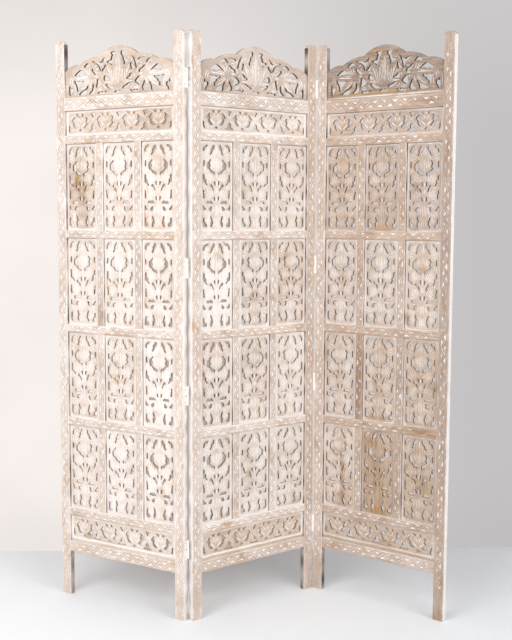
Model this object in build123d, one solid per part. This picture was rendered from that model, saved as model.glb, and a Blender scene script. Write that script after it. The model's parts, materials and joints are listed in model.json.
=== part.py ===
"""Three-leaf folding screen with pierced, carved panels (a jali screen), in millimetres.

Each leaf is a frame of two stiles and seven rails. Rails are tenoned into the stiles, and the
pierced boards and the mullions are held in a groove that runs round the inside of the frame.
Butt hinges join the leaves: the near joint has its pins behind the leaves, the far one in front.

A leaf is built in its own frame: X across from its left edge, Y from its front face to its
back, Z up from the floor. It is then turned about Z and moved to where it stands.
"""

import os
from math import cos, radians, sin

from build123d import *

# --- Stiles -----------------------------------------------------------------------------
LEAF_WIDTH = 500.0  # over the outer edges of both stiles
STILE_FACE = 36.0
STILE_DEPTH = 20.0  # the leaf's full thickness
STILE_HORN = 179.0  # the stile's length above the top rail
STILE_TOP_RADIUS = 11.0

# --- Rails and rows, from the floor up ---------------------------------------------------
LEG_HEIGHT = 150.0  # clear height under the bottom rail
BOTTOM_RAIL_HEIGHT = 36.0
BOTTOM_FRIEZE_HEIGHT = 88.5
THIN_RAIL_HEIGHT = 27.0
ROW_HEIGHTS = (280.0, 283.0, 282.0, 275.5)  # panel openings, lowest row first
TOP_FRIEZE_HEIGHT = 78.0
TOP_RAIL_HEIGHT = 43.0
RAIL_DEPTH = 18.0

# --- Mullions and boards -----------------------------------------------------------------
COLUMNS = 3
MULLION_WIDTH = 27.0
MULLION_DEPTH = 16.0
BOARD_DEPTH = 8.0  # panels, friezes and crest
CREST_RISE = 151.5  # from the crest's foot to its middle
CREST_END_RISE = 82.0  # from the crest's foot to where its rim meets a stile
# Each leaf's plain strip between the top rail and the crest's foot.
CREST_STRIP = {"left": 0.0, "middle": 0.0, "right": 9.0}
BOTTOM_FRIEZE_STRIP = 10.0  # plain strip under the bottom frieze's pattern

# --- Joinery -----------------------------------------------------------------------------
GROOVE_REACH = 5.0  # depth of the groove that holds the boards
TENON_REACH = 16.0  # rail tenon, into the stile
END_GAP = 0.3  # left at the end of a tongue or tenon
SIDE_GAP = 0.1  # left beside a tongue or tenon

# --- Hinges ------------------------------------------------------------------------------
HINGE_HEIGHT = 60.0
HINGE_LIFTS = (228.0, 718.0, 1114.0)  # centres above the floor
TOP_HINGE_DROP = 141.0  # the top hinge's centre, below the stile's top
PLATE_THICKNESS = 1.2
PLATE_WIDTH = 15.0  # from the leaf's face into its thickness
KNUCKLES = 5
KNUCKLE_RADIUS = 3.25
KNUCKLE_GAP = 0.2  # between neighbouring knuckles, along the pin
PIN_RADIUS = 1.5
PIN_RUNNING_GAP = 0.05
PIN_HEAD_RADIUS = 2.6
PIN_HEAD_HEIGHT = 1.5
PIN_SIDE = 0.8  # from the pin's axis to the plane of the leaf's edge
PIN_PROUD = 1.6  # from the pin's axis to the plane of the leaf's face
NOTCH_GAP = 0.4  # round the knuckles and the pin heads
SCREW_SPACING = 20.0
OUTER_SCREW_INSET = 10.2  # the top and bottom screws, in from the leaf's face
MIDDLE_SCREW_INSET = 6.8
SCREW_RADIUS = 1.5
SCREW_HEAD_RADIUS = 2.7
SCREW_HEAD_HEIGHT = 1.1
SCREW_REACH = 13.0  # into the wood
SCREW_TIP = 3.0
SCREW_TIP_RADIUS = 0.4
SCREW_GAP = 0.05

# --- How the screen stands -----------------------------------------------------------------
LEFT_YAW = -33.2  # each leaf's direction, from its left edge to its right, about Z
MIDDLE_YAW = 36.0
RIGHT_YAW = -40.3

# --- Derived sizes -------------------------------------------------------------------------
OPENING_WIDTH = LEAF_WIDTH - 2 * STILE_FACE
COLUMN_WIDTH = (OPENING_WIDTH - (COLUMNS - 1) * MULLION_WIDTH) / COLUMNS
COLUMN_PITCH = COLUMN_WIDTH + MULLION_WIDTH
MID_DEPTH = STILE_DEPTH / 2
TONGUE = GROOVE_REACH - END_GAP
GROOVE_WIDTH = BOARD_DEPTH + 2 * SIDE_GAP

BOTTOM_FRIEZE_Z = LEG_HEIGHT + BOTTOM_RAIL_HEIGHT
LOWER_RAIL_Z = BOTTOM_FRIEZE_Z + BOTTOM_FRIEZE_HEIGHT
ROW_Z = [LOWER_RAIL_Z + THIN_RAIL_HEIGHT]
for row_height in ROW_HEIGHTS:
    ROW_Z.append(ROW_Z[-1] + row_height + THIN_RAIL_HEIGHT)
TOP_FRIEZE_Z = ROW_Z.pop()
TOP_RAIL_Z = TOP_FRIEZE_Z + TOP_FRIEZE_HEIGHT
CREST_Z = TOP_RAIL_Z + TOP_RAIL_HEIGHT
LEAF_HEIGHT = CREST_Z + STILE_HORN
HINGE_Z = (*HINGE_LIFTS, LEAF_HEIGHT - TOP_HINGE_DROP)

# Rails from the top down: name, lower edge and height.
RAILS = [
    ("top_rail", TOP_RAIL_Z, TOP_RAIL_HEIGHT),
    ("frieze_rail", TOP_FRIEZE_Z - THIN_RAIL_HEIGHT, THIN_RAIL_HEIGHT),
]
for number, row_z in enumerate(reversed(ROW_Z[1:]), start=1):
    RAILS.append((f"row_rail_{number}", row_z - THIN_RAIL_HEIGHT, THIN_RAIL_HEIGHT))
RAILS.append(("lower_rail", LOWER_RAIL_Z, THIN_RAIL_HEIGHT))
RAILS.append(("bottom_rail", LEG_HEIGHT, BOTTOM_RAIL_HEIGHT))

# --- Pierced patterns ------------------------------------------------------------------------
# Each hole is drawn once, on the right of its motif's middle line, and mirrored to the left.
# The points are millimetres from the middle of a field of the size named with them.
PANEL_FIELD = (124.0, 280.0)
PANEL_HOLES = {
    "corner_hook": [(31, 129), (37, 120.5), (43, 121), (46, 107.5), (52, 107.5), (52.3, 117),
                    (47.5, 125), (41, 129)],
    "upper_slant": [(6.5, 128.5), (15.5, 129), (17, 124.5), (24.5, 114), (21.5, 110.5),
                    (27, 99.5), (25, 97), (21, 98.5), (16, 105.5), (15, 112), (9, 115.5)],
    "lotus_ring": [(23.5, 85.5), (29, 77.5), (36, 73), (37.7, 64.5), (35, 52), (27, 51.5),
                   (26, 48.5), (18, 38), (13, 40), (9.5, 35.5), (6, 33), (5.5, 44.5),
                   (12, 46), (20, 50.5), (26, 58), (21, 62), (26.5, 75), (20.2, 80)],
    "upper_slot": [(45.5, 61.5), (51, 61.5), (51, 81), (45.5, 81)],
    "side_taper": [(52, 41), (52, 12), (45, 11.5), (37.5, 1.8), (34.8, 2.8), (36, 7),
                   (41, 11), (38.5, 15.5), (40, 21.5), (47, 24.5), (44.5, 30.5), (46, 35.5)],
    "upper_drop": [(4.8, 16.5), (11, 15), (9.8, 7), (4.6, 0.5)],
    "lobed_diagonal": [(17.5, 6), (22, 6.5), (27, 4), (26, 0), (22, -4), (17.5, -3),
                       (16, -8.5), (11.5, -15.5), (9, -15)],
    "side_slot": [(51, -8), (51, -38.5), (45, -38.5), (43.8, -34.5), (46.3, -29),
                  (43.5, -25.5), (48.3, -20), (45.5, -15.5)],
    "lower_drop": [(4.8, -31), (11, -32.5), (9.8, -40.5), (4.6, -47.5)],
    "wing": [(11.5, -54.5), (19, -45.5), (24, -45), (29, -47), (33, -45), (36, -46),
             (41, -54), (26, -54.5)],
    "side_small": [(52, -56.5), (52, -75), (40.5, -74.5), (40, -70.5), (47, -64.5)],
    "inner_small": [(19, -61.5), (24, -64), (31, -70), (30, -74.5), (26, -77), (19.5, -75),
                    (18.2, -70)],
    "foot_corner": [(52, -99), (52, -127.5), (36, -127.5), (38, -117.5), (43, -115),
                    (45.8, -112), (45.8, -99)],
    "foot_lobe": [(20, -93), (25, -93.5), (22.5, -104.5), (19.8, -108.5), (25, -113),
                  (25, -127), (22, -128.5), (17.5, -128), (17.5, -122), (12.8, -117),
                  (14.5, -110)],
}

FRIEZE_FIELD = (428.0, 78.0)
FRIEZE_MOTIFS = 4
FRIEZE_PITCH = 102.7
# Mirrored about each motif's middle line.
FRIEZE_PAIRS = [
    [(5, 28.5), (6.5, 22.5), (9.5, 20), (12.5, 22.5), (20, 28.5)],
    [(20, 19.5), (26, 18.5), (32, 15), (37, 8), (36.5, 4), (31, 3), (31, -4), (28.5, -11),
     (22.5, -17.5), (15, -17.5), (13, -15.5), (20, -8), (25.5, -2), (21.5, 2), (21.5, 6.5),
     (25, 12.5), (23.5, 16)],
]
FRIEZE_MOTIF_TRIANGLE = [(-8.5, -27.5), (0, -18.5), (8.5, -27.5)]
# Between one motif and the next.
FRIEZE_LINKS = [
    [(-10.5, 29), (10.5, 29), (4, 21.5), (2.5, 16), (-2.5, 16), (-4, 21.5)],
    [(0, -5.5), (5, -8.5), (8, -14), (5.5, -19.5), (9, -22.5), (17, -26.5), (16, -29),
     (-16, -29), (-17, -26.5), (-9, -22.5), (-5.5, -19.5), (-8, -14), (-5, -8.5)],
]
FRIEZE_END = [(198.5, -6), (203.5, -6), (203.5, -27), (193.5, -27), (198.5, -21)]

CREST_FIELD = (428.0, 151.5)
CREST_HOLES = {
    "tall_petal": [(10, 135), (31.5, 131.5), (23, 124), (27.5, 118.5), (28, 111),
                   (32.5, 106.5), (39, 107.5), (44, 103), (42, 100), (33, 98.5), (25, 90.5),
                   (21.5, 92), (24, 99.5), (19.5, 105.5), (17, 119), (11.5, 121)],
    "rim_wedge": [(52, 121), (63, 108.5), (68.5, 104), (76, 102), (81, 107.5), (102, 109),
                  (103, 106.5), (90, 102), (82, 97), (76, 91), (72, 77.5), (69, 77.5),
                  (66, 92), (60, 107)],
    "petal_gap": [(47, 95), (52, 96), (55, 89), (62, 81), (66, 77), (62, 75.5), (50, 76),
                  (50.5, 81), (47.5, 86)],
    "low_petal": [(31, 50), (38, 52.5), (43, 53.5), (46, 60.5), (51, 62), (56, 60),
                  (57.5, 52), (55, 46), (48, 44.5), (41, 46.5)],
    "lower_arc": [(14, 21), (22, 26), (31, 28.5), (34, 32), (45, 35.5), (51, 33.5),
                  (44, 26), (36, 20.5), (26, 18.5), (18, 18.5)],
    "base_slot": [(46, 14), (50, 14.5), (54, 11), (58, 10.5), (62, 13.5), (66, 13.5),
                  (69, 10.5), (73, 13), (77, 12.5), (83, 7.5), (80, 6), (54, 6)],
    "flower_left": [(64, 38), (70, 45), (77, 52), (82, 54), (85, 50), (87, 35), (90, 29),
                    (84, 25.5), (78, 26), (74, 30), (69, 32.5)],
    "flower_upper_left": [(79, 64.5), (80, 72), (84, 74.5), (92, 77.5), (97, 83), (104, 86),
                          (107, 83), (102, 76), (97, 70), (91, 66.5)],
    "flower_top": [(106, 91), (112, 98.5), (118, 104), (124, 104.5), (131, 100),
                   (136.5, 95), (134, 91.5), (127, 91.5), (121, 94.5), (115, 95)],
    "flower_arch": [(124, 68), (130, 73), (143, 81), (149, 84.5), (156, 83), (164, 78.5),
                    (172, 72), (177, 66.5), (163, 67.5), (159, 70), (153, 67.5), (141, 71),
                    (133, 70.5)],
    "flower_right": [(137.5, 52), (144, 49), (149, 48.5), (157, 51), (165, 49.5), (177, 53),
                     (178.5, 50), (171, 38), (167, 20), (163, 18), (157.5, 22), (160.5, 29),
                     (151, 35.5), (151, 40), (145, 43), (139, 46.5)],
    "end_notch": [(194, 37.5), (198.5, 37), (199, 17.5), (196.5, 6), (192, 5), (187.5, 17.5),
                  (183.5, 19), (183.5, 29), (189, 31), (194, 28.5)],
    "flower_foot_right": [(119, 33), (122, 34), (127, 27), (132, 22), (140, 20), (150, 15),
                          (161, 6.5), (130, 5), (125, 13), (127, 18)],
    "flower_foot_left": [(100, 38), (104, 39), (103, 30), (106, 18), (117, 9.5), (115, 7.5),
                         (99, 7), (93, 12), (92, 20), (98, 30)],
}
CREST_BASE_SLOT = [(-17, 8), (-8, 14.5), (0, 12), (8, 14.5), (17, 8), (0, 7)]
# Lobes of the crest's top, right half: where two lobes meet, and a point on each arc.
CREST_CUSPS = ((76.5, 122.0), (154.5, 100.5))
CREST_ARC_MIDS = ((118.0, 118.0), (186.0, 98.5))


def box(x0, x1, y0, y1, z0, z1):
    """A box between two corners."""
    return Pos((x0 + x1) / 2, (y0 + y1) / 2, (z0 + z1) / 2) * Box(x1 - x0, y1 - y0, z1 - z0)


def centred_box(x0, x1, depth, z0, z1):
    """A box across the middle of the leaf's thickness."""
    return box(x0, x1, MID_DEPTH - depth / 2, MID_DEPTH + depth / 2, z0, z1)


def mirrored(points):
    """The same outline on the other side of the motif's middle line."""
    return [(-x, z) for x, z in points]


def outline_face(points):
    """A flat face inside a closed run of straight lines."""
    return make_face(Polyline(*points, close=True))


def drilled_face(face, outlines, x_middle, z_middle, x_scale, z_scale):
    """The face with a hole for each outline, scaled about its field's middle."""
    holes = []
    for points in outlines:
        placed = [(x_middle + x * x_scale, z_middle + z * z_scale) for x, z in points]
        holes.append(outline_face(placed))
    return face - holes


def board(face):
    """A board of the panels' thickness, from a face drawn in X and Z."""
    return extrude(Plane.XZ.offset(-MID_DEPTH - BOARD_DEPTH / 2) * face, amount=BOARD_DEPTH)


def rectangle_face(x0, x1, z0, z1):
    """A rectangle between two corners, in X and Z."""
    return outline_face([(x0, z0), (x1, z0), (x1, z1), (x0, z1)])


def panel_outlines():
    """Every hole of one jali panel."""
    outlines = []
    for points in PANEL_HOLES.values():
        outlines.append(points)
        outlines.append(mirrored(points))
    return outlines


def frieze_outlines():
    """Every hole of one frieze."""
    outlines = [FRIEZE_END, mirrored(FRIEZE_END)]
    for motif in range(FRIEZE_MOTIFS):
        middle = (motif - (FRIEZE_MOTIFS - 1) / 2) * FRIEZE_PITCH
        shapes = [FRIEZE_MOTIF_TRIANGLE]
        for points in FRIEZE_PAIRS:
            shapes.append(points)
            shapes.append(mirrored(points))
        for points in shapes:
            outlines.append([(middle + x, z) for x, z in points])
        if motif < FRIEZE_MOTIFS - 1:
            link = middle + FRIEZE_PITCH / 2
            for points in FRIEZE_LINKS:
                outlines.append([(link + x, z) for x, z in points])
    return outlines


def crest_outlines():
    """Every hole of the crest, measured up from the crest's foot."""
    outlines = [CREST_BASE_SLOT]
    for points in CREST_HOLES.values():
        outlines.append(points)
        outlines.append(mirrored(points))
    return outlines


def held_board(x0, x1, z0, z1, outlines, field, strip=0.0):
    """A pierced board that fills an opening and reaches into the groove all round.

    Its pattern stands on a plain strip."""
    face = rectangle_face(x0 - TONGUE, x1 + TONGUE, z0 - TONGUE, z1 + TONGUE)
    z0 += strip
    scales = ((x1 - x0) / field[0], (z1 - z0) / field[1])
    return board(drilled_face(face, outlines, (x0 + x1) / 2, (z0 + z1) / 2, *scales))


def crest(strip):
    """The lobed crest, tongued into the top rail and the stiles."""
    foot = CREST_Z + strip
    middle = LEAF_WIDTH / 2
    x_scale = OPENING_WIDTH / CREST_FIELD[0]
    z_scale = CREST_RISE / CREST_FIELD[1]

    def place(side, point):
        return (middle + side * point[0] * x_scale, foot + point[1] * z_scale)

    left_end = (STILE_FACE, foot + CREST_END_RISE)
    right_end = (LEAF_WIDTH - STILE_FACE, foot + CREST_END_RISE)
    lobes = [
        ThreePointArc(left_end, place(-1, CREST_ARC_MIDS[1]), place(-1, CREST_CUSPS[1])),
        ThreePointArc(place(-1, CREST_CUSPS[1]), place(-1, CREST_ARC_MIDS[0]),
                      place(-1, CREST_CUSPS[0])),
        ThreePointArc(place(-1, CREST_CUSPS[0]), (middle, foot + CREST_RISE),
                      place(1, CREST_CUSPS[0])),
        ThreePointArc(place(1, CREST_CUSPS[0]), place(1, CREST_ARC_MIDS[0]),
                      place(1, CREST_CUSPS[1])),
        ThreePointArc(place(1, CREST_CUSPS[1]), place(1, CREST_ARC_MIDS[1]), right_end),
    ]
    tongue_top = foot + CREST_END_RISE - TONGUE
    tongue_low = CREST_Z - TONGUE
    x_left = STILE_FACE - TONGUE
    x_right = LEAF_WIDTH - STILE_FACE + TONGUE
    rim = Polyline(right_end, (right_end[0], tongue_top), (x_right, tongue_top),
                   (x_right, tongue_low), (x_left, tongue_low), (x_left, tongue_top),
                   (left_end[0], tongue_top), left_end)
    face = make_face([*lobes, rim])
    return board(drilled_face(face, crest_outlines(), middle, foot, x_scale, z_scale))


def rail(z_low, height):
    """A rail with a tenon at each end and a groove along each edge that holds a board."""
    x0 = STILE_FACE
    x1 = LEAF_WIDTH - STILE_FACE
    z_high = z_low + height
    solid = centred_box(x0, x1, RAIL_DEPTH, z_low, z_high)
    tenon = TENON_REACH - END_GAP
    solid += centred_box(x0 - tenon, x1 + tenon, BOARD_DEPTH, z_low + GROOVE_REACH,
                         z_high - GROOVE_REACH)
    solid -= centred_box(x0 - TENON_REACH, x1 + TENON_REACH, GROOVE_WIDTH,
                         z_high - GROOVE_REACH, z_high)
    if z_low > LEG_HEIGHT:
        solid -= centred_box(x0 - TENON_REACH, x1 + TENON_REACH, GROOVE_WIDTH, z_low,
                             z_low + GROOVE_REACH)
    return solid


def mullion(x_low, z_low, height):
    """An upright between two rails, with a stub tenon at each end and two grooves."""
    x_high = x_low + MULLION_WIDTH
    z_high = z_low + height
    solid = centred_box(x_low, x_high, MULLION_DEPTH, z_low, z_high)
    solid += centred_box(x_low + GROOVE_REACH, x_high - GROOVE_REACH, BOARD_DEPTH,
                         z_low - TONGUE, z_high + TONGUE)
    for x0 in (x_low, x_high - GROOVE_REACH):
        solid -= centred_box(x0, x0 + GROOVE_REACH, GROOVE_WIDTH, z_low, z_high)
    return solid


def knuckle_height():
    """The length of one knuckle along the pin."""
    return (HINGE_HEIGHT - (KNUCKLES - 1) * KNUCKLE_GAP) / KNUCKLES


def knuckle_z(index):
    """A knuckle's middle, from the hinge's middle."""
    return (index - (KNUCKLES - 1) / 2) * (knuckle_height() + KNUCKLE_GAP)


def screw_places():
    """The three screws of one plate: distance from the pin's axis into the leaf, and height."""
    outer = PIN_PROUD + OUTER_SCREW_INSET
    middle = PIN_PROUD + MIDDLE_SCREW_INSET
    return [(outer, -SCREW_SPACING), (middle, 0.0), (outer, SCREW_SPACING)]


# The hinge parts below are drawn about the pin's axis, with their leaf on the -X side and
# its thickness towards +Y.


def hinge_plate(indices):
    """A plate let into the leaf's edge, with its knuckles and countersunk screw holes."""
    x_wood = -PIN_SIDE - PLATE_THICKNESS
    half = HINGE_HEIGHT / 2
    plate = box(x_wood, -PIN_SIDE, 0, PIN_PROUD + PLATE_WIDTH, -half, half)
    for index in range(KNUCKLES):
        if index in indices:
            plate += Pos(0, 0, knuckle_z(index)) * Cylinder(KNUCKLE_RADIUS, knuckle_height())
        else:
            swing = Cylinder(KNUCKLE_RADIUS + NOTCH_GAP, knuckle_height() + 2 * KNUCKLE_GAP)
            plate -= Pos(0, 0, knuckle_z(index)) * swing
    plate -= Cylinder(PIN_RADIUS + PIN_RUNNING_GAP, 2 * HINGE_HEIGHT)
    for y, z in screw_places():
        plate -= Pos(-PIN_SIDE, y, z) * screw_shape(SCREW_GAP)
    return plate


def screw_shape(gap):
    """A countersunk screw that points along -X from its head's face, made larger by gap."""
    head = Cone(SCREW_RADIUS + gap, SCREW_HEAD_RADIUS + gap, SCREW_HEAD_HEIGHT)
    shank = SCREW_REACH + PLATE_THICKNESS - SCREW_TIP + gap
    solid = Pos(0, 0, -SCREW_HEAD_HEIGHT / 2) * head
    solid += Pos(0, 0, -shank / 2) * Cylinder(SCREW_RADIUS + gap, shank)
    tip = Cone(SCREW_TIP_RADIUS + gap, SCREW_RADIUS + gap, SCREW_TIP)
    solid += Pos(0, 0, -shank - SCREW_TIP / 2) * tip
    return Rot(0, 90, 0) * solid


def hinge_screws():
    """The screws of one plate."""
    return [Pos(-PIN_SIDE, y, z) * screw_shape(0) for y, z in screw_places()]


def hinge_pin():
    """The pin, headed at both ends."""
    half = HINGE_HEIGHT / 2
    pin = Cylinder(PIN_RADIUS, HINGE_HEIGHT + 2 * PIN_RUNNING_GAP)
    for side in (-1, 1):
        middle = side * (half + PIN_RUNNING_GAP + PIN_HEAD_HEIGHT / 2)
        pin += Pos(0, 0, middle) * Cylinder(PIN_HEAD_RADIUS, PIN_HEAD_HEIGHT)
    return pin


def hinge_pocket():
    """What the stile gives up to a hinge: plate recess, knuckle notch and pilot holes."""
    half = HINGE_HEIGHT / 2 + SIDE_GAP
    x_wood = -PIN_SIDE - PLATE_THICKNESS - SCREW_GAP
    pocket = box(x_wood, 0, 0, PIN_PROUD + PLATE_WIDTH + SIDE_GAP, -half, half)
    notch_height = HINGE_HEIGHT + 2 * (PIN_RUNNING_GAP + PIN_HEAD_HEIGHT + NOTCH_GAP)
    pocket += Cylinder(KNUCKLE_RADIUS + NOTCH_GAP, notch_height)
    for y, z in screw_places():
        pocket += Pos(-PIN_SIDE, y, z) * screw_shape(SCREW_GAP)
    return pocket


def at_edge(shape, edge, face):
    """A hinge part set on a leaf: edge is left or right, face is front or back."""
    if edge == "left":
        shape = mirror(shape, Plane.YZ)
    if face == "back":
        shape = mirror(shape, Plane.XZ)
    return Pos(*pin_place(edge, face), 0) * shape


def pin_place(edge, face):
    """Where a leaf's pin axis stands, in the leaf's frame."""
    x = -PIN_SIDE if edge == "left" else LEAF_WIDTH + PIN_SIDE
    y = -PIN_PROUD if face == "front" else STILE_DEPTH + PIN_PROUD
    return (x, y)


def stile(edge, crest_strip, hinge_face=None):
    """A stile with its mortises and groove, and hinge pockets if it carries hinges."""
    x0, x1 = (0, STILE_FACE) if edge == "left" else (LEAF_WIDTH - STILE_FACE, LEAF_WIDTH)
    inner, into = (x1, -1) if edge == "left" else (x0, 1)
    face = rectangle_face(x0, x1, 0, LEAF_HEIGHT)
    face = fillet(face.vertices().sort_by(Axis.Y)[-2:], STILE_TOP_RADIUS)
    solid = extrude(Plane.XZ.offset(-STILE_DEPTH) * face, amount=STILE_DEPTH)

    def socket(reach, z_low, z_high):
        span = sorted((inner, inner + into * reach))
        return centred_box(*span, GROOVE_WIDTH, z_low, z_high)

    solid -= socket(GROOVE_REACH, BOTTOM_FRIEZE_Z - GROOVE_REACH,
                    CREST_Z + crest_strip + CREST_END_RISE - TONGUE + SIDE_GAP)
    for _, z_low, height in RAILS:
        solid -= socket(TENON_REACH, z_low + GROOVE_REACH - SIDE_GAP,
                        z_low + height - GROOVE_REACH + SIDE_GAP)
    if hinge_face:
        pocket = at_edge(hinge_pocket(), edge, hinge_face)
        for z in HINGE_Z:
            solid -= Pos(0, 0, z) * pocket
    return solid


def leaf_nodes(hinged, crest_strip):
    """A leaf's nodes in its own frame; hinged gives each hinged edge's face."""
    x0 = STILE_FACE
    x1 = LEAF_WIDTH - STILE_FACE
    nodes = {
        "stile_left": [stile("left", crest_strip, hinged.get("left"))],
        "stile_right": [stile("right", crest_strip, hinged.get("right"))],
        "crest": [crest(crest_strip)],
        "top_frieze": [held_board(x0, x1, TOP_FRIEZE_Z, TOP_RAIL_Z, frieze_outlines(),
                                  FRIEZE_FIELD)],
        "bottom_frieze": [held_board(x0, x1, BOTTOM_FRIEZE_Z, LOWER_RAIL_Z,
                                     frieze_outlines(), FRIEZE_FIELD,
                                     BOTTOM_FRIEZE_STRIP)],
        "mullions": [],
    }
    for name, z_low, height in RAILS:
        nodes[name] = [rail(z_low, height)]
    panels = []
    for z_low, height in zip(ROW_Z, ROW_HEIGHTS):
        panels.append(held_board(x0, x0 + COLUMN_WIDTH, z_low, z_low + height,
                                 panel_outlines(), PANEL_FIELD))
        for column in range(1, COLUMNS):
            x_low = x0 + column * COLUMN_PITCH - MULLION_WIDTH
            nodes["mullions"].append(mullion(x_low, z_low, height))
    for column in range(COLUMNS):
        shift = Pos(column * COLUMN_PITCH, 0, 0)
        nodes[f"panels_{column + 1}"] = [shift * panel for panel in panels]
    return nodes


def standing(yaw, local, world):
    """The placement that turns a leaf by yaw and brings its point local to world."""
    x = world[0] - local[0] * cos(radians(yaw)) + local[1] * sin(radians(yaw))
    y = world[1] - local[0] * sin(radians(yaw)) - local[1] * cos(radians(yaw))
    return Location((x, y, 0), (0, 0, yaw))


def placed_point(place, local):
    """A leaf's point in the screen's frame."""
    moved = (place * Location((local[0], local[1], 0))).position
    return (moved.X, moved.Y)


def add_hinges(nodes, joint, right_hand_leaf, left_hand_leaf, places, face):
    """One joint's hinges: left_hand_leaf is joined at its right edge."""
    sides = ((left_hand_leaf, "right", range(0, KNUCKLES, 2)),
             (right_hand_leaf, "left", range(1, KNUCKLES, 2)))
    for leaf, edge, indices in sides:
        plate = at_edge(hinge_plate(indices), edge, face)
        screws = [at_edge(screw, edge, face) for screw in hinge_screws()]
        plates_name = f"{joint}_hinge_plates_{leaf}"
        screws_name = f"{joint}_hinge_screws_{leaf}"
        nodes[plates_name] = [places[leaf] * Pos(0, 0, z) * plate for z in HINGE_Z]
        nodes[screws_name] = [places[leaf] * Pos(0, 0, z) * screw
                              for z in HINGE_Z for screw in screws]
    pin = Pos(*pin_place("right", face), 0) * hinge_pin()
    nodes[f"{joint}_hinge_pins"] = [places[left_hand_leaf] * Pos(0, 0, z) * pin
                                    for z in HINGE_Z]


def screen():
    """Every node of the screen, and the place of each joint's axis."""
    near = (0.0, 0.0)
    places = {
        "left": standing(LEFT_YAW, pin_place("right", "back"), near),
        "middle": standing(MIDDLE_YAW, pin_place("left", "back"), near),
    }
    far = placed_point(places["middle"], pin_place("right", "front"))
    places["right"] = standing(RIGHT_YAW, pin_place("left", "front"), far)

    # The origin is on the floor, under the middle of the screen's bounding box.
    corners = [placed_point(place, (x, y)) for place in places.values()
               for x in (0, LEAF_WIDTH) for y in (0, STILE_DEPTH)]
    middle_x = (min(x for x, _ in corners) + max(x for x, _ in corners)) / 2
    middle_y = (min(y for _, y in corners) + max(y for _, y in corners)) / 2
    centring = Location((-middle_x, -middle_y, 0))
    places = {leaf: centring * place for leaf, place in places.items()}

    hinged = {"left": {"right": "back"}, "middle": {"left": "back", "right": "front"},
              "right": {"left": "front"}}
    nodes = {}
    for leaf, place in places.items():
        for name, solids in leaf_nodes(hinged[leaf], CREST_STRIP[leaf]).items():
            nodes[f"{leaf}_{name}"] = [place * solid for solid in solids]
    add_hinges(nodes, "near", "middle", "left", places, "back")
    add_hinges(nodes, "far", "right", "middle", places, "front")
    axes = {"near": (near[0] - middle_x, near[1] - middle_y),
            "far": (far[0] - middle_x, far[1] - middle_y)}
    return nodes, axes


def main():
    """Write one STEP file for each node."""
    nodes, axes = screen()
    os.makedirs("parts", exist_ok=True)
    for name, solids in nodes.items():
        shape = solids[0] if len(solids) == 1 else Compound(children=solids)
        export_step(shape, f"parts/{name}.step")
    print(f"{len(nodes)} nodes, leaf height {LEAF_HEIGHT:.1f} mm")
    for joint, (x, y) in axes.items():
        print(f"{joint} joint's axis at X {x:.3f}, Y {y:.3f} mm")


main()
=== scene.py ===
"""Looks of the three-leaf carved jali screen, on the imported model. Sizes are in millimetres
until a piece's mesh is made, and a leaf is drawn in its own frame: X across from its left
edge, Y from its front face to its back, Z up.
"""

import json
import math

import bpy
import numpy as np
from mathutils import Matrix, Vector


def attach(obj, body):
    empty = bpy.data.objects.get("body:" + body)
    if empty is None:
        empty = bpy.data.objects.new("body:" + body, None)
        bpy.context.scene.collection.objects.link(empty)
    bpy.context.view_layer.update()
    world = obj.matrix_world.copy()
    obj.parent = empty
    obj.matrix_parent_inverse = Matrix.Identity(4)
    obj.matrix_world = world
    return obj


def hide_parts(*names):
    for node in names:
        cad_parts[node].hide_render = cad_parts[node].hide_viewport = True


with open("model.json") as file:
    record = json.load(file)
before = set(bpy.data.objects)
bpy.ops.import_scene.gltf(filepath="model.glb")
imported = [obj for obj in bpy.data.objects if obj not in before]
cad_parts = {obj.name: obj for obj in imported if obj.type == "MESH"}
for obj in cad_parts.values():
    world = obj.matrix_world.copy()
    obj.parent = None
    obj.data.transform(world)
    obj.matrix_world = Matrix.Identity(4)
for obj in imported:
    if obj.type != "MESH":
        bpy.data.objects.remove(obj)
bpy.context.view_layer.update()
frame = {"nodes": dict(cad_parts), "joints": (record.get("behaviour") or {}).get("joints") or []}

# --- Sizes of a leaf ---------------------------------------------------------------------
LEAF_WIDTH = 500.0
STILE_FACE = 36.0
STILE_DEPTH = 20.0
STILE_TOP_RADIUS = 11.0
LEAF_HEIGHT = 1830.0
RAIL_DEPTH = 18.0
MULLION_DEPTH = 16.0
MULLION_WIDTH = 27.0
BOARD_DEPTH = 8.0
MID_DEPTH = STILE_DEPTH / 2
THIN_RAIL = 27.0
OPENING = LEAF_WIDTH - 2 * STILE_FACE
COLUMNS = 3
COLUMN_WIDTH = (OPENING - (COLUMNS - 1) * MULLION_WIDTH) / COLUMNS
COLUMN_PITCH = COLUMN_WIDTH + MULLION_WIDTH
PIN_SIDE = 0.8
PIN_PROUD = 1.6

ROWS = ((301.5, 280.0), (608.5, 283.0), (918.5, 282.0), (1227.5, 275.5))  # lower edge, height
BOTTOM_FRIEZE = (186.0, 88.5)
TOP_FRIEZE = (1530.0, 78.0)
RAILS = {
    "bottom_rail": (150.0, 36.0),
    "lower_rail": (274.5, THIN_RAIL),
    "row_rail_3": (581.5, THIN_RAIL),
    "row_rail_2": (891.5, THIN_RAIL),
    "row_rail_1": (1200.5, THIN_RAIL),
    "frieze_rail": (1503.0, THIN_RAIL),
    "top_rail": (1608.0, 43.0),
}
CREST_Z = 1651.0
CREST_RISE = 151.5
CREST_END_RISE = 82.0
CREST_STRIP = {"left": 0.0, "middle": 0.0, "right": 9.0}  # plain wood under the crest's foot
BOTTOM_FRIEZE_STRIP = 10.0

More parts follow.
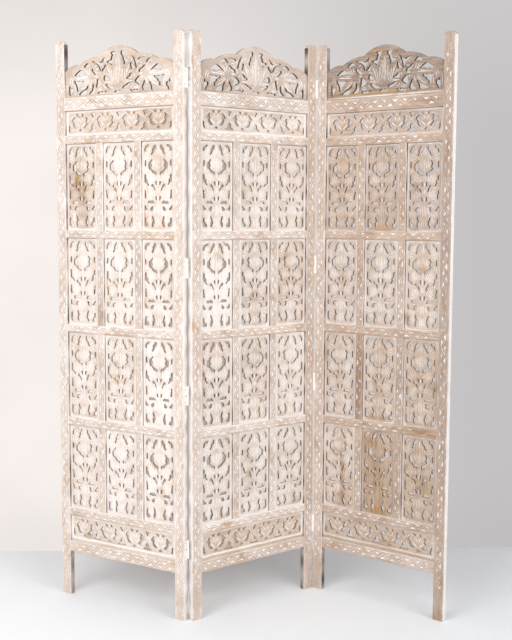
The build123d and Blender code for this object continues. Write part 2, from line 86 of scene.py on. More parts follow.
# --- How the leaves stand: yaw, the joint that the leaf hangs on, its pin in the leaf -------
PIN_BACK = STILE_DEPTH + PIN_PROUD
LEAVES = {
    "left": (-33.2, "near_fold", (LEAF_WIDTH + PIN_SIDE, PIN_BACK)),
    "middle": (36.0, "near_fold", (-PIN_SIDE, PIN_BACK)),
    "right": (-40.3, "far_fold", (-PIN_SIDE, -PIN_PROUD)),
}
JOINT_PLACES = {joint["name"]: joint["pos_m"] for joint in frame["joints"]}

# --- Pierced patterns: right half of each hole, from the middle of the board -----------------
PANEL_FIELD = (124.0, 280.0)
PANEL_HOLES = [
    [(31, 129), (37, 120.5), (43, 121), (46, 107.5), (52, 107.5), (52.3, 117), (47.5, 125),
     (41, 129)],
    [(6.5, 128.5), (15.5, 129), (17, 124.5), (24.5, 114), (21.5, 110.5), (27, 99.5), (25, 97),
     (21, 98.5), (16, 105.5), (15, 112), (9, 115.5)],
    [(23.5, 85.5), (29, 77.5), (36, 73), (37.7, 64.5), (35, 52), (27, 51.5), (26, 48.5),
     (18, 38), (13, 40), (9.5, 35.5), (6, 33), (5.5, 44.5), (12, 46), (20, 50.5), (26, 58),
     (21, 62), (26.5, 75), (20.2, 80)],
    [(45.5, 61.5), (51, 61.5), (51, 81), (45.5, 81)],
    [(52, 41), (52, 12), (45, 11.5), (37.5, 1.8), (34.8, 2.8), (36, 7), (41, 11), (38.5, 15.5),
     (40, 21.5), (47, 24.5), (44.5, 30.5), (46, 35.5)],
    [(4.8, 16.5), (11, 15), (9.8, 7), (4.6, 0.5)],
    [(17.5, 6), (22, 6.5), (27, 4), (26, 0), (22, -4), (17.5, -3), (16, -8.5), (11.5, -15.5),
     (9, -15)],
    [(51, -8), (51, -38.5), (45, -38.5), (43.8, -34.5), (46.3, -29), (43.5, -25.5),
     (48.3, -20), (45.5, -15.5)],
    [(4.8, -31), (11, -32.5), (9.8, -40.5), (4.6, -47.5)],
    [(11.5, -54.5), (19, -45.5), (24, -45), (29, -47), (33, -45), (36, -46), (41, -54),
     (26, -54.5)],
    [(52, -56.5), (52, -75), (40.5, -74.5), (40, -70.5), (47, -64.5)],
    [(19, -61.5), (24, -64), (31, -70), (30, -74.5), (26, -77), (19.5, -75), (18.2, -70)],
    [(52, -99), (52, -127.5), (36, -127.5), (38, -117.5), (43, -115), (45.8, -112),
     (45.8, -99)],
    [(20, -93), (25, -93.5), (22.5, -104.5), (19.8, -108.5), (25, -113), (25, -127),
     (22, -128.5), (17.5, -128), (17.5, -122), (12.8, -117), (14.5, -110)],
]
# Gouge cuts on a panel's right half: run, width and depth.
PANEL_CUTS = [
    ([(0, 97), (0, 128)], 3.0, 1.1),
    ([(4.6, 99), (5.4, 108), (4.2, 116)], 2.4, 0.8),
    ([(9.5, 92), (12, 101), (11.5, 110)], 2.6, 0.9),
    ([(17, 90), (20, 95)], 2.4, 0.8),
    ([(28, 103), (30.5, 112), (28.5, 124)], 2.6, 0.9),
    ([(32, 100), (36, 110), (36.5, 117)], 2.6, 0.9),
    ([(37, 97), (42, 106)], 2.4, 0.8),
    ([(24.5, 92), (31, 95.5), (39, 97), (49, 102)], 2.4, 0.8),
    ([(29, 85), (37, 89), (50, 91)], 2.6, 0.9),
    ([(36, 79), (42, 82), (50, 86)], 2.4, 0.8),
    ([(0, 47), (0, 90)], 3.2, 1.2),
    ([(4.6, 51), (7, 66), (4.6, 84)], 2.8, 1.0),
    ([(9.5, 54), (13, 67), (9.5, 86)], 2.8, 1.0),
    ([(14.5, 57), (18, 68), (15.5, 84)], 2.6, 0.9),
    ([(40.5, 46), (42.5, 54), (41.5, 63)], 2.4, 0.8),
    ([(46.5, 45), (48, 57)], 2.4, 0.8),
    ([(2.4, 20), (2.4, 40)], 2.2, 0.8),
    ([(8.5, 17), (13.5, 26), (17, 34)], 2.8, 1.0),
    ([(13, 15), (21, 27), (26, 44)], 2.8, 1.1),
    ([(17.5, 13), (27.5, 26), (33.5, 46)], 2.8, 1.1),
    ([(22, 11), (32, 23), (39.5, 42)], 2.8, 1.1),
    ([(28, 9), (34, 15), (37.5, 24), (42, 32)], 2.6, 0.9),
    ([(0, 1), (0, 16)], 5.0, 0.9),
    ([(0, -25), (0, -3)], 2.6, 0.9),
    ([(4.2, -25), (5.6, -16), (4, -6)], 2.4, 0.8),
    ([(12, -29), (17, -20), (20, -11)], 2.8, 1.0),
    ([(15, -33), (23.5, -21), (30, -8)], 2.8, 1.1),
    ([(18.5, -36.5), (29, -24), (38.5, -8)], 2.8, 1.1),
    ([(22, -39.5), (33, -30), (41, -20)], 2.8, 1.0),
    ([(26, -42), (34, -38.5), (41, -35)], 2.4, 0.8),
    ([(30, -5), (38, -4), (48, 3)], 2.4, 0.8),
    ([(0, -47), (0, -31)], 5.0, 0.9),
    ([(9, -58.5), (23, -58.5), (37, -62)], 2.4, 0.8),
    ([(0, -54), (0, -93)], 3.0, 1.1),
    ([(4.6, -57), (6.4, -75), (5, -96)], 2.8, 1.0),
    ([(9.5, -60), (13, -76), (14, -90)], 2.8, 1.0),
    ([(14, -62), (15.5, -72), (19, -84), (19.5, -90)], 2.4, 0.8),
    ([(20, -80), (29, -88), (38, -98)], 2.6, 0.9),
    ([(24, -80), (35, -86), (45, -95)], 2.6, 1.0),
    ([(31, -79), (41, -82), (50, -91)], 2.6, 0.9),
    ([(38, -78), (51, -81)], 2.4, 0.8),
    ([(25, -88), (29.5, -99), (28.5, -122)], 2.4, 0.9),
    ([(30, -92), (35, -104), (32.5, -120)], 2.6, 0.9),
    ([(37, -101), (41, -110)], 2.4, 0.8),
    ([(0, -100), (0, -128)], 3.2, 1.1),
    ([(4.4, -100), (7.4, -112), (5, -127)], 2.8, 1.0),
    ([(9, -97), (10, -104)], 2.4, 0.8),
    ([(10.5, -118), (11.5, -126)], 2.4, 0.8),
]

FRIEZE_FIELD = (428.0, 78.0)
FRIEZE_MOTIFS = 4
FRIEZE_PITCH = 102.7
FRIEZE_PAIRS = [
    [(5, 28.5), (6.5, 22.5), (9.5, 20), (12.5, 22.5), (20, 28.5)],
    [(20, 19.5), (26, 18.5), (32, 15), (37, 8), (36.5, 4), (31, 3), (31, -4), (28.5, -11),
     (22.5, -17.5), (15, -17.5), (13, -15.5), (20, -8), (25.5, -2), (21.5, 2), (21.5, 6.5),
     (25, 12.5), (23.5, 16)],
]
FRIEZE_TRIANGLE = [(-8.5, -27.5), (0, -18.5), (8.5, -27.5)]
FRIEZE_LINKS = [
    [(-10.5, 29), (10.5, 29), (4, 21.5), (2.5, 16), (-2.5, 16), (-4, 21.5)],
    [(0, -5.5), (5, -8.5), (8, -14), (5.5, -19.5), (9, -22.5), (17, -26.5), (16, -29),
     (-16, -29), (-17, -26.5), (-9, -22.5), (-5.5, -19.5), (-8, -14), (-5, -8.5)],
]
FRIEZE_END = [(198.5, -6), (203.5, -6), (203.5, -27), (193.5, -27), (198.5, -21)]
# Cuts on the right half of one motif.
FRIEZE_CUTS = [
    ([(2, -14), (10, -8), (20.5, 1)], 5.0, 1.6),
    ([(3, 4), (7, 11), (10, 18)], 4.4, 1.5),
    ([(0, -3), (0, 14)], 2.6, 0.9),
    ([(7, -2), (12, 5), (15, 14)], 2.4, 0.8),
    ([(12, -1), (17, 6), (19, 13)], 2.4, 0.8),
    ([(0, 19), (1.5, 28)], 2.6, 0.9),
    ([(14, 20), (22, 24), (30, 24)], 2.4, 0.8),
    ([(27, 22), (35, 18), (41, 10)], 2.6, 1.0),
    ([(35, -2), (37, -9), (32, -18)], 2.6, 1.0),
    ([(40, 2), (43, -4), (42, -14)], 2.6, 0.9),
    ([(24, -21), (15, -23), (12, -26)], 2.4, 0.8),
    ([(32, -22), (27, -27)], 2.4, 0.8),
    ([(43, 22), (46, 12), (50, 4)], 2.4, 0.8),
    ([(48, 13), (50.5, 2)], 2.4, 0.8),
    ([(9, -20.5), (4, -16.5)], 2.2, 0.8),
]

CREST_HOLES = [
    [(10, 135), (31.5, 131.5), (23, 124), (27.5, 118.5), (28, 111), (32.5, 106.5), (39, 107.5),
     (44, 103), (42, 100), (33, 98.5), (25, 90.5), (21.5, 92), (24, 99.5), (19.5, 105.5),
     (17, 119), (11.5, 121)],
    [(52, 121), (63, 108.5), (68.5, 104), (76, 102), (81, 107.5), (102, 109), (103, 106.5),
     (90, 102), (82, 97), (76, 91), (72, 77.5), (69, 77.5), (66, 92), (60, 107)],
    [(47, 95), (52, 96), (55, 89), (62, 81), (66, 77), (62, 75.5), (50, 76), (50.5, 81),
     (47.5, 86)],
    [(31, 50), (38, 52.5), (43, 53.5), (46, 60.5), (51, 62), (56, 60), (57.5, 52), (55, 46),
     (48, 44.5), (41, 46.5)],
    [(14, 21), (22, 26), (31, 28.5), (34, 32), (45, 35.5), (51, 33.5), (44, 26), (36, 20.5),
     (26, 18.5), (18, 18.5)],
    [(46, 14), (50, 14.5), (54, 11), (58, 10.5), (62, 13.5), (66, 13.5), (69, 10.5), (73, 13),
     (77, 12.5), (83, 7.5), (80, 6), (54, 6)],
    [(64, 38), (70, 45), (77, 52), (82, 54), (85, 50), (87, 35), (90, 29), (84, 25.5),
     (78, 26), (74, 30), (69, 32.5)],
    [(79, 64.5), (80, 72), (84, 74.5), (92, 77.5), (97, 83), (104, 86), (107, 83), (102, 76),
     (97, 70), (91, 66.5)],
    [(106, 91), (112, 98.5), (118, 104), (124, 104.5), (131, 100), (136.5, 95), (134, 91.5),
     (127, 91.5), (121, 94.5), (115, 95)],
    [(124, 68), (130, 73), (143, 81), (149, 84.5), (156, 83), (164, 78.5), (172, 72),
     (177, 66.5), (163, 67.5), (159, 70), (153, 67.5), (141, 71), (133, 70.5)],
    [(137.5, 52), (144, 49), (149, 48.5), (157, 51), (165, 49.5), (177, 53), (178.5, 50),
     (171, 38), (167, 20), (163, 18), (157.5, 22), (160.5, 29), (151, 35.5), (151, 40),
     (145, 43), (139, 46.5)],
    [(194, 37.5), (198.5, 37), (199, 17.5), (196.5, 6), (192, 5), (187.5, 17.5), (183.5, 19),
     (183.5, 29), (189, 31), (194, 28.5)],
    [(119, 33), (122, 34), (127, 27), (132, 22), (140, 20), (150, 15), (161, 6.5), (130, 5),
     (125, 13), (127, 18)],
    [(100, 38), (104, 39), (103, 30), (106, 18), (117, 9.5), (115, 7.5), (99, 7), (93, 12),
     (92, 20), (98, 30)],
]
CREST_BASE_SLOT = [(-17, 8), (-8, 14.5), (0, 12), (8, 14.5), (17, 8), (0, 7)]
CREST_CUSPS = ((76.5, 122.0), (154.5, 100.5))
CREST_ARC_MIDS = ((118.0, 118.0), (186.0, 98.5))
# Cuts on the crest's right half.
CREST_CUTS = [
    ([(0, 24), (0, 60), (0, 128)], 3.4, 1.5),
    ([(4.5, 30), (6, 70), (4.5, 118)], 2.8, 1.2),
    ([(9, 30), (12, 70), (10, 106)], 2.8, 1.2),
    ([(14, 34), (18, 62), (16.5, 88)], 2.8, 1.2),
    ([(17, 30), (24, 56), (28, 84)], 3.0, 1.3),
    ([(21, 31), (31, 58), (36, 90)], 3.0, 1.3),
    ([(31, 62), (39, 78), (44, 92)], 3.0, 1.3),
    ([(24, 32), (32, 42), (44, 43)], 2.8, 1.2),
    ([(34, 60), (46, 68), (60, 70)], 2.8, 1.2),
    ([(27, 34), (40, 39), (56, 40)], 3.2, 1.4),
    ([(56, 86), (62, 96), (58, 104)], 2.4, 0.9),
    ([(49, 100), (55, 106), (50, 114)], 2.6, 1.0),
    ([(36, 113), (46, 110)], 2.6, 1.0),
    ([(58, 64), (64, 56), (66, 48)], 2.6, 1.0),
    ([(60, 36), (56, 26), (46, 19)], 2.6, 1.0),
    ([(64, 28), (72, 24), (84, 21)], 2.6, 1.1),
    ([(60, 22), (72, 19), (86, 16.5)], 2.6, 1.1),
    ([(60, 17), (70, 16.5), (82, 13.5)], 2.2, 0.8),
    ([(68, 62), (74, 70), (76, 78)], 2.6, 1.0),
    ([(96, 58), (88, 60), (78, 60)], 3.0, 1.3),
    ([(97, 62), (90, 63), (82, 61)], 2.4, 0.9),
    ([(98, 52), (90, 50), (92, 40)], 2.8, 1.2),
    ([(104, 50), (100, 45)], 2.4, 0.9),
    ([(108, 48), (111, 38), (112, 26)], 3.2, 1.4),
    ([(114, 50), (122, 42), (136, 29), (152, 22)], 3.6, 1.6),
    ([(117, 53), (128, 44), (146, 32)], 2.6, 1.1),
    ([(119, 58), (135, 59), (158, 59), (176, 60)], 3.6, 1.5),
    ([(118, 61), (134, 64), (152, 64)], 2.6, 1.0),
    ([(115, 65), (121, 76), (128, 86)], 3.2, 1.4),
    ([(111, 66), (113, 78), (116, 90)], 2.8, 1.2),
    ([(118, 63), (130, 77), (140, 88)], 2.8, 1.2),
    ([(106, 66), (104, 72)], 2.4, 0.9),
    ([(96, 88), (89, 94), (84, 94)], 2.6, 1.0),
    ([(93, 82), (84, 82), (80, 88)], 2.6, 1.0),
    ([(180, 62), (186, 50), (183, 36)], 2.8, 1.2),
    ([(186, 66), (194, 52), (192, 42)], 2.8, 1.2),
    ([(176, 44), (174, 28), (178, 14)], 2.8, 1.2),
    ([(205, 52), (206, 30), (204, 12)], 2.6, 1.0),
    ([(170, 12), (180, 10)], 2.4, 0.9),
    ([(86, 33), (94, 30)], 2.2, 0.8),
]

# --- Chip-carved strip on the frame ---------------------------------------------------------
STRIP_HALF_PITCH = 18.1
STRIP_HALF_WIDTH = 7.5  # at scale 1
ZIGZAG_RISE = 5.2  # half the height of the zigzag that the cuts follow
CHIP_FROM = 6.6  # a chip starts this far from the zigzag's line, measured across the strip
CHIP_DEPTH = 2.2
PIT_PLACE = 0.6  # how far out from its tip a chip is deepest
STRIP_RAMP = 3  # the cuts reach their depth this far from the strip's ends
STRIP_WANDER = 0.5
STRIP_VIGOUR = 0.3
MOST_WHITE = 1.1  # most whitewash left in a chip or cut
CUTS = ((-3.3, 0.7, -0.6), (0.0, 1.1, 0.5), (3.3, 0.7, -0.6))  # offset, half width, fill
CUT_DEPTH = 0.9
CHIP_FILL = 1.0
BORDER_FILL = -0.2
FLAT_FILL = -0.15  # how much of its whitewash the strip's untouched face has lost


def leaf_place(leaf):
    """Cosine and sine of a leaf's yaw, and where its frame's origin stands."""
    yaw, joint, (pin_x, pin_y) = LEAVES[leaf]
    c, s = math.cos(math.radians(yaw)), math.sin(math.radians(yaw))
    x, y = 1000 * JOINT_PLACES[joint][0], 1000 * JOINT_PLACES[joint][1]
    return c, s, x - pin_x * c + pin_y * s, y - pin_x * s - pin_y * c


def to_world(leaf, points):
    """Points of a leaf's frame in millimetres, as points of the scene in metres."""
    c, s, x, y = leaf_place(leaf)
    out = np.empty_like(points)
    out[:, 0] = x + points[:, 0] * c - points[:, 1] * s
    out[:, 1] = y + points[:, 0] * s + points[:, 1] * c
    out[:, 2] = points[:, 2]
    return out / 1000


def new_object(name, data):
    """A linked object."""
    piece = bpy.data.objects.new(name, data)
    bpy.context.scene.collection.objects.link(piece)
    return piece


def make_piece(name, leaf, node, points, faces, smooth, values, material, grain):
    """One object: points in the leaf's frame, faces as index arrays of one size each."""
    mesh = bpy.data.meshes.new(name)
    mesh.vertices.add(len(points))
    mesh.vertices.foreach_set("co", to_world(leaf, points).astype(np.float32).ravel())
    corners = np.concatenate([face.ravel() for face in faces])
    sizes = np.concatenate([np.full(len(face), face.shape[1]) for face in faces])
    mesh.loops.add(len(corners))
    mesh.loops.foreach_set("vertex_index", corners.astype(np.int32))
    mesh.polygons.add(len(sizes))
    starts = np.concatenate([[0], np.cumsum(sizes)[:-1]])
    mesh.polygons.foreach_set("loop_start", starts.astype(np.int32))
    mesh.polygons.foreach_set("use_smooth", np.asarray(smooth, bool))
    mesh.update(calc_edges=True)
    for key, value in values.items():
        data = np.broadcast_to(np.asarray(value, np.float32), (len(points),))
        mesh.attributes.new(key, "FLOAT", "POINT").data.foreach_set("value", data.copy())
    grain_data = mesh.attributes.new("grain", "FLOAT_VECTOR", "POINT").data
    grain_data.foreach_set("vector", grain.astype(np.float32).ravel())
    mesh.materials.append(material)
    piece = new_object(name, mesh)
    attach(piece, f"{leaf}_leaf")
    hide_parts(node)
    return piece


# --- Carved boards --------------------------------------------------------------------------
CORNER_CUT = 0.2  # the share of a side that the cut at each of its ends takes
CORNER_CUTS = 2
CUT_END = 0.12  # square of the share of its width and depth that a cut has at its ends
CUT_WHITE = (0.15, 0.8)  # depths between which a panel's or crest's cut fills with whitewash
HOLE_ROUNDING = (2.4, 0.8)  # radius and drop where the face of a panel or frieze meets a hole
CREST_HOLE_ROUNDING = (1.4, 0.3)
CREST_RIM_ROUNDING = (2.0, 1.0)
PANEL_BORDER = (55.0, 134.0)  # half the size of the carved field inside the sunk border
PANEL_BORDER_CORNER = 11.0
PANEL_BORDER_EDGE = (-0.3, 1.6)
PANEL_BORDER_DEPTH = 1.9
PANEL_CUT_SCALES = (1.1, 1.05)  # on the depth and on the width of the cuts
FRIEZE_BORDER_ENDS = (200.0, 208.0)
FRIEZE_BORDER_SIDES = (31.0, 36.0)
FRIEZE_BORDER_DEPTH = 1.5
FRIEZE_PLAIN_EDGE = (-38.0, -41.0)  # where the bottom frieze's plain strip begins
FRIEZE_PLAIN_RISE = 0.5
CREST_CUT_WIDTH = 0.9
CREST_STEP = 0.7  # how far the carved field lies below the raised rim
CREST_STEP_EDGE = (10.5, 12.5)
CREST_CUT_FADE = (9.0, 12.0)


def rounded(points):
    """A closed outline with its corners cut off, and then the corners of that."""
    points = np.asarray(points, float)
    rest = 1 - CORNER_CUT
    for _ in range(CORNER_CUTS):
        after = np.roll(points, -1, axis=0)
        points = np.stack([rest * points + CORNER_CUT * after,
                           CORNER_CUT * points + rest * after], 1).reshape(-1, 2)
    return points


def segment_distance(u, v, a, b):
    """Distance of each point from the segment a to b, and how far along it the foot lies."""
    du, dv = b[0] - a[0], b[1] - a[1]
    along = np.clip(((u - a[0]) * du + (v - a[1]) * dv) / (du * du + dv * dv), 0, 1)
    return np.hypot(u - a[0] - along * du, v - a[1] - along * dv), along


def outline_distance(u, v, outline, reach):
    """Distance of each point from a closed outline, negative inside it, up to reach."""
    result = np.full(u.shape, float(reach))
    low, high = outline.min(0) - reach, outline.max(0) + reach
    near = (u > low[0]) & (u < high[0]) & (v > low[1]) & (v < high[1])
    if not near.any():
        return result
    pu, pv = u[near], v[near]
    distance = np.full(pu.shape, float(reach))
    inside = np.zeros(pu.shape, bool)
    for a, b in zip(outline, np.roll(outline, -1, axis=0)):
        distance = np.minimum(distance, segment_distance(pu, pv, a, b)[0])
        crosses = (a[1] > pv) != (b[1] > pv)
        rise = b[1] - a[1] if b[1] != a[1] else 1e-9
        inside ^= crosses & (pu < a[0] + (pv - a[1]) * (b[0] - a[0]) / rise)
    result[near] = np.where(inside, -distance, distance)
    return result


def smoothstep(low, high, x):
    """0 at low, 1 at high and smooth between, whichever of the two is larger."""
    t = np.clip((x - low) / (high - low), 0, 1)
    return t * t * (3 - 2 * t)


def cut_depth(u, v, cuts, widen=1.0):
    """Depth of the deepest gouge cut at each point: V-shaped, and thin at both ends."""
    depth = np.zeros(u.shape)
    for run, width, deep in cuts:
        width = widen * width
        run = np.asarray(run, float)
        low, high = run.min(0) - width, run.max(0) + width
        near = (u > low[0]) & (u < high[0]) & (v > low[1]) & (v < high[1])
        if not near.any():
            continue
        pu, pv = u[near], v[near]
        lengths = np.hypot(*np.diff(run, axis=0).T)
        total = lengths.sum()
        best = np.zeros(pu.shape)
        start = 0.0
        for a, b, length in zip(run, run[1:], lengths):
            distance, along = segment_distance(pu, pv, a, b)
            place = (start + along * length) / total
            swell = np.sqrt(np.clip(4 * place * (1 - place), CUT_END, 1))
            best = np.maximum(best, deep * swell * np.clip(1 - distance / (width / 2 * swell),
                                                          0, 1))
            start += length
        depth[near] = np.maximum(depth[near], best)
    return depth


def hole_edge(distance, radius, drop):
    """How far a surface falls where it rounds over into a hole."""
    t = np.clip(1 - distance / radius, 0, 1)
    return drop * (1 - np.sqrt(1 - t * t))


def panel_relief(u, v, distance, white):
    """Depth below a panel's face, and how much white lies there: white is the border's."""
    au = np.abs(u)
    deeper, wider = PANEL_CUT_SCALES
    cuts = deeper * cut_depth(au, v, PANEL_CUTS, wider)
    qu = au - (PANEL_BORDER[0] - PANEL_BORDER_CORNER)
    qv = np.abs(v) - (PANEL_BORDER[1] - PANEL_BORDER_CORNER)
    outside = np.hypot(np.maximum(qu, 0), np.maximum(qv, 0)) + np.minimum(
        np.maximum(qu, qv), 0) - PANEL_BORDER_CORNER
    border = smoothstep(*PANEL_BORDER_EDGE, outside)
    inside = cuts + hole_edge(distance, *HOLE_ROUNDING)
    depth = PANEL_BORDER_DEPTH * border + (1 - border) * inside
    fill = np.maximum(white * border, (0.3 + white) * smoothstep(*CUT_WHITE, cuts))
    return depth, fill


def frieze_relief(u, v, distance, white):
    """The same for a frieze."""
    folded = u / FRIEZE_PITCH + FRIEZE_MOTIFS / 2
    motif = np.clip(np.floor(folded), 0, FRIEZE_MOTIFS - 1)
    mu = np.abs(u - (motif - (FRIEZE_MOTIFS - 1) / 2) * FRIEZE_PITCH)
    cuts = cut_depth(mu, v, FRIEZE_CUTS)
    border = np.maximum(smoothstep(*FRIEZE_BORDER_ENDS, np.abs(u)),
                        smoothstep(*FRIEZE_BORDER_SIDES, np.abs(v)))
    plain = smoothstep(*FRIEZE_PLAIN_EDGE, v)
    inside = cuts + hole_edge(distance, *HOLE_ROUNDING)
    depth = border * (FRIEZE_BORDER_DEPTH - FRIEZE_PLAIN_RISE * plain) + (1 - border) * inside
    fill = np.maximum(white * border * (1.0 - plain), 0.9 * smoothstep(0.1, 0.9, cuts))
    return depth, fill


def crest_relief(u, v, distance, rim):
    """The same for the crest: rim is the distance from its lobed edge."""
    cuts = cut_depth(np.abs(u), v, CREST_CUTS, CREST_CUT_WIDTH)
    step = CREST_STEP * smoothstep(*CREST_STEP_EDGE, rim)
    cuts = cuts * smoothstep(*CREST_CUT_FADE, rim)
    depth = (step + cuts + hole_edge(distance, *CREST_HOLE_ROUNDING)
             + hole_edge(rim, *CREST_RIM_ROUNDING))
    fill = 1.8 * smoothstep(*CUT_WHITE, cuts)
    return depth, fill


def mirrored(points):
    """An outline's mirror image in the board's middle line."""
    return [(-x, z) for x, z in points]


def both_sides(outlines):
    """Each outline and its mirror image."""
    return [side for points in outlines for side in (points, mirrored(points))]


def frieze_outlines():
    """Every hole of a frieze."""
    outlines = both_sides([FRIEZE_END])
    for motif in range(FRIEZE_MOTIFS):
        middle = (motif - (FRIEZE_MOTIFS - 1) / 2) * FRIEZE_PITCH
        for points in [FRIEZE_TRIANGLE] + both_sides(FRIEZE_PAIRS):
            outlines.append([(middle + x, z) for x, z in points])
        if motif < FRIEZE_MOTIFS - 1:
            link = middle + FRIEZE_PITCH / 2
            for points in FRIEZE_LINKS:
                outlines.append([(link + x, z) for x, z in points])
    return outlines


def arc_points(a, b, c, count=14):
    """Points on the circle's arc from a through b to c."""
    (ax, ay), (bx, by), (cx, cy) = a, b, c
    d = 2 * (ax * (by - cy) + bx * (cy - ay) + cx * (ay - by))
    a2, b2, c2 = ax * ax + ay * ay, bx * bx + by * by, cx * cx + cy * cy
    ox = (a2 * (by - cy) + b2 * (cy - ay) + c2 * (ay - by)) / d
    oy = (a2 * (cx - bx) + b2 * (ax - cx) + c2 * (bx - ax)) / d
    first = math.atan2(ay - oy, ax - ox)
    sweep = (math.atan2(cy - oy, cx - ox) - first) % (2 * math.pi)
    middle = (math.atan2(by - oy, bx - ox) - first) % (2 * math.pi)
    if middle > sweep:
        sweep -= 2 * math.pi
    radius = math.hypot(ax - ox, ay - oy)
    angles = first + sweep * np.linspace(0, 1, count)
    return np.stack([ox + radius * np.cos(angles), oy + radius * np.sin(angles)], 1)


def crest_outline():
    """The crest's lobed edge, closed well below the board."""
    half = OPENING / 2
    end = (half, CREST_END_RISE)
    cusp_1, cusp_2 = CREST_CUSPS
    right = [
        arc_points((-cusp_1[0], cusp_1[1]), (0, CREST_RISE), cusp_1, 28),
        arc_points(cusp_1, CREST_ARC_MIDS[0], cusp_2),
        arc_points(cusp_2, CREST_ARC_MIDS[1], end),
    ]
    right = np.concatenate(right)
    right = right[right[:, 0] >= 0]
    left = right[::-1] * (-1, 1)
    low, wide = -40.0, half + 20.0
    ends = [(wide, CREST_END_RISE), (wide, low), (-wide, low), (-wide, CREST_END_RISE)]
    return np.concatenate([left, right, ends])


CELL_POLYGONS = {
    1: [(0, 4, 7)], 2: [(1, 5, 4)], 3: [(0, 1, 5, 7)], 4: [(2, 6, 5)],
    5: [(0, 4, 7), (2, 6, 5)], 6: [(1, 2, 6, 4)], 7: [(0, 1, 2, 6, 7)], 8: [(3, 7, 6)],
    9: [(3, 0, 4, 6)], 10: [(1, 5, 4), (3, 7, 6)], 11: [(3, 0, 1, 5, 6)],
    12: [(2, 3, 7, 5)], 13: [(2, 3, 0, 4, 5)], 14: [(1, 2, 3, 7, 4)], 15: [(0, 1, 2, 3)],
}


def cut_grid(xs, zs, distance):
    """The part of a grid where distance is positive: points and faces, by marching squares.

    distance has a row for each x. Corners of a cell go round from its lower left, and 4 to 7
    are the crossings on its lower, right, upper and left sides."""
    nx, nz = distance.shape
    solid = distance > 0
    grid = np.full((nx, nz), -1)
    grid[solid] = np.arange(solid.sum())
    count = int(solid.sum())
    i, j = np.nonzero(solid)
    points = [np.stack([xs[i], zs[j]], 1)]

    across = np.full((nx - 1, nz), -1)
    i, j = np.nonzero(solid[:-1] != solid[1:])
    t = distance[i, j] / (distance[i, j] - distance[i + 1, j])
    points.append(np.stack([xs[i] + t * (xs[i + 1] - xs[i]), zs[j]], 1))
    across[i, j] = count + np.arange(len(i))
    count += len(i)

    up = np.full((nx, nz - 1), -1)
    i, j = np.nonzero(solid[:, :-1] != solid[:, 1:])
    t = distance[i, j] / (distance[i, j] - distance[i, j + 1])
    points.append(np.stack([xs[i], zs[j] + t * (zs[j + 1] - zs[j])], 1))
    up[i, j] = count + np.arange(len(i))

    corners = [grid[:-1, :-1], grid[1:, :-1], grid[1:, 1:], grid[:-1, 1:],
               across[:, :-1], up[1:], across[:, 1:], up[:-1]]
    case = (solid[:-1, :-1] * 1 + solid[1:, :-1] * 2 + solid[1:, 1:] * 4
            + solid[:-1, 1:] * 8)
    by_size = {}
    for number, polygons in CELL_POLYGONS.items():
        cells = case == number
        for polygon in polygons:
            rows = np.stack([corners[k][cells] for k in polygon], 1)
            by_size.setdefault(len(polygon), []).append(rows)
    faces = [np.concatenate(rows) for _, rows in sorted(by_size.items())]
    return np.concatenate(points), faces


def open_edges(faces, count):
    """Directed edges that only one face uses."""
    edges = []
    for face in faces:
        edges.append(np.stack([face.ravel(), np.roll(face, -1, axis=1).ravel()], 1))
    edges = np.concatenate(edges)
    low, high = edges.min(1), edges.max(1)
    _, first, uses = np.unique(low * count + high, return_index=True, return_counts=True)
    return edges[first[uses == 1]]


def wavy_maker(rng, size, count=3, lengths=(45, 110)):
    """A gentle unevenness as a function of two coordinates, its waves drawn once, so that no
    two pieces are cut quite alike."""
    waves = [(rng.uniform(0, 2 * math.pi), rng.uniform(*lengths), rng.uniform(0, 2 * math.pi))
             for _ in range(count)]

    def value(u, v):
        total = 0.0
        for direction, length, phase in waves:
            total = total + np.sin((u * math.cos(direction) + v * math.sin(direction))
                                   * 2 * math.pi / length + phase)
        return size * total / (count / 2)

    return value


# Darkening in the corners between a board and its frame, partly dirt and partly painted shade:
# left, right, lower and upper side.
LEAF_CORNER_DIRT_AND_SHADE = {"left": (0.7, 0.2, 0.1, 0.5), "middle": (0.2, 0.8, 0.2, 0.5),
             "right": (0.8, 0.2, 0.2, 0.7)}
SEEN_SIDE = {"left": -1, "middle": 1, "right": -1}
BORDER_WHITE = {"left": 0.9, "middle": 0.9, "right": 0.55}
GRID_STEP = 1.25
BOARD_LAP = 2.0  # how far a board's mesh runs on into the groove round its opening
HOLE_REACH = 6.0  # distances from holes are worked out up to this
RIM_REACH = 400.0
PATTERN_WANDER = 0.55
FACE_WAVES = (0.12, 4, (55, 130))  # unevenness of a board's face: size, waves and lengths
MOST_DEPTH = 3.4
WORN_EDGE = 2.2  # how far from a hole its edge still counts as one
GRAIN_SHIFT = 3  # metres, so that no two pieces share their grain


def board_skin(flat, faces, depth):
    """Both faces of a board, depth below its surface, and the walls between them: points,
    faces, and how many points lie along one edge of the walls."""
    count = len(flat)
    x, z = flat[:, 0], flat[:, 1]
    front = MID_DEPTH - BOARD_DEPTH / 2 + depth
    back = MID_DEPTH + BOARD_DEPTH / 2 - depth
    rims = open_edges(faces, count)
    used, place = np.unique(rims, return_inverse=True)
    place = place.reshape(rims.shape)
    walls = len(used)
    points = np.concatenate([
        np.stack([x, front, z], 1), np.stack([x, back, z], 1),
        np.stack([x[used], front[used], z[used]], 1),
        np.stack([x[used], back[used], z[used]], 1)])
    a, b = place[:, 0] + 2 * count, place[:, 1] + 2 * count
    all_faces = list(faces) + [face[:, ::-1] + count for face in faces]
    all_faces.append(np.stack([b, a, a + walls, b + walls], 1))
    return points, all_faces, walls


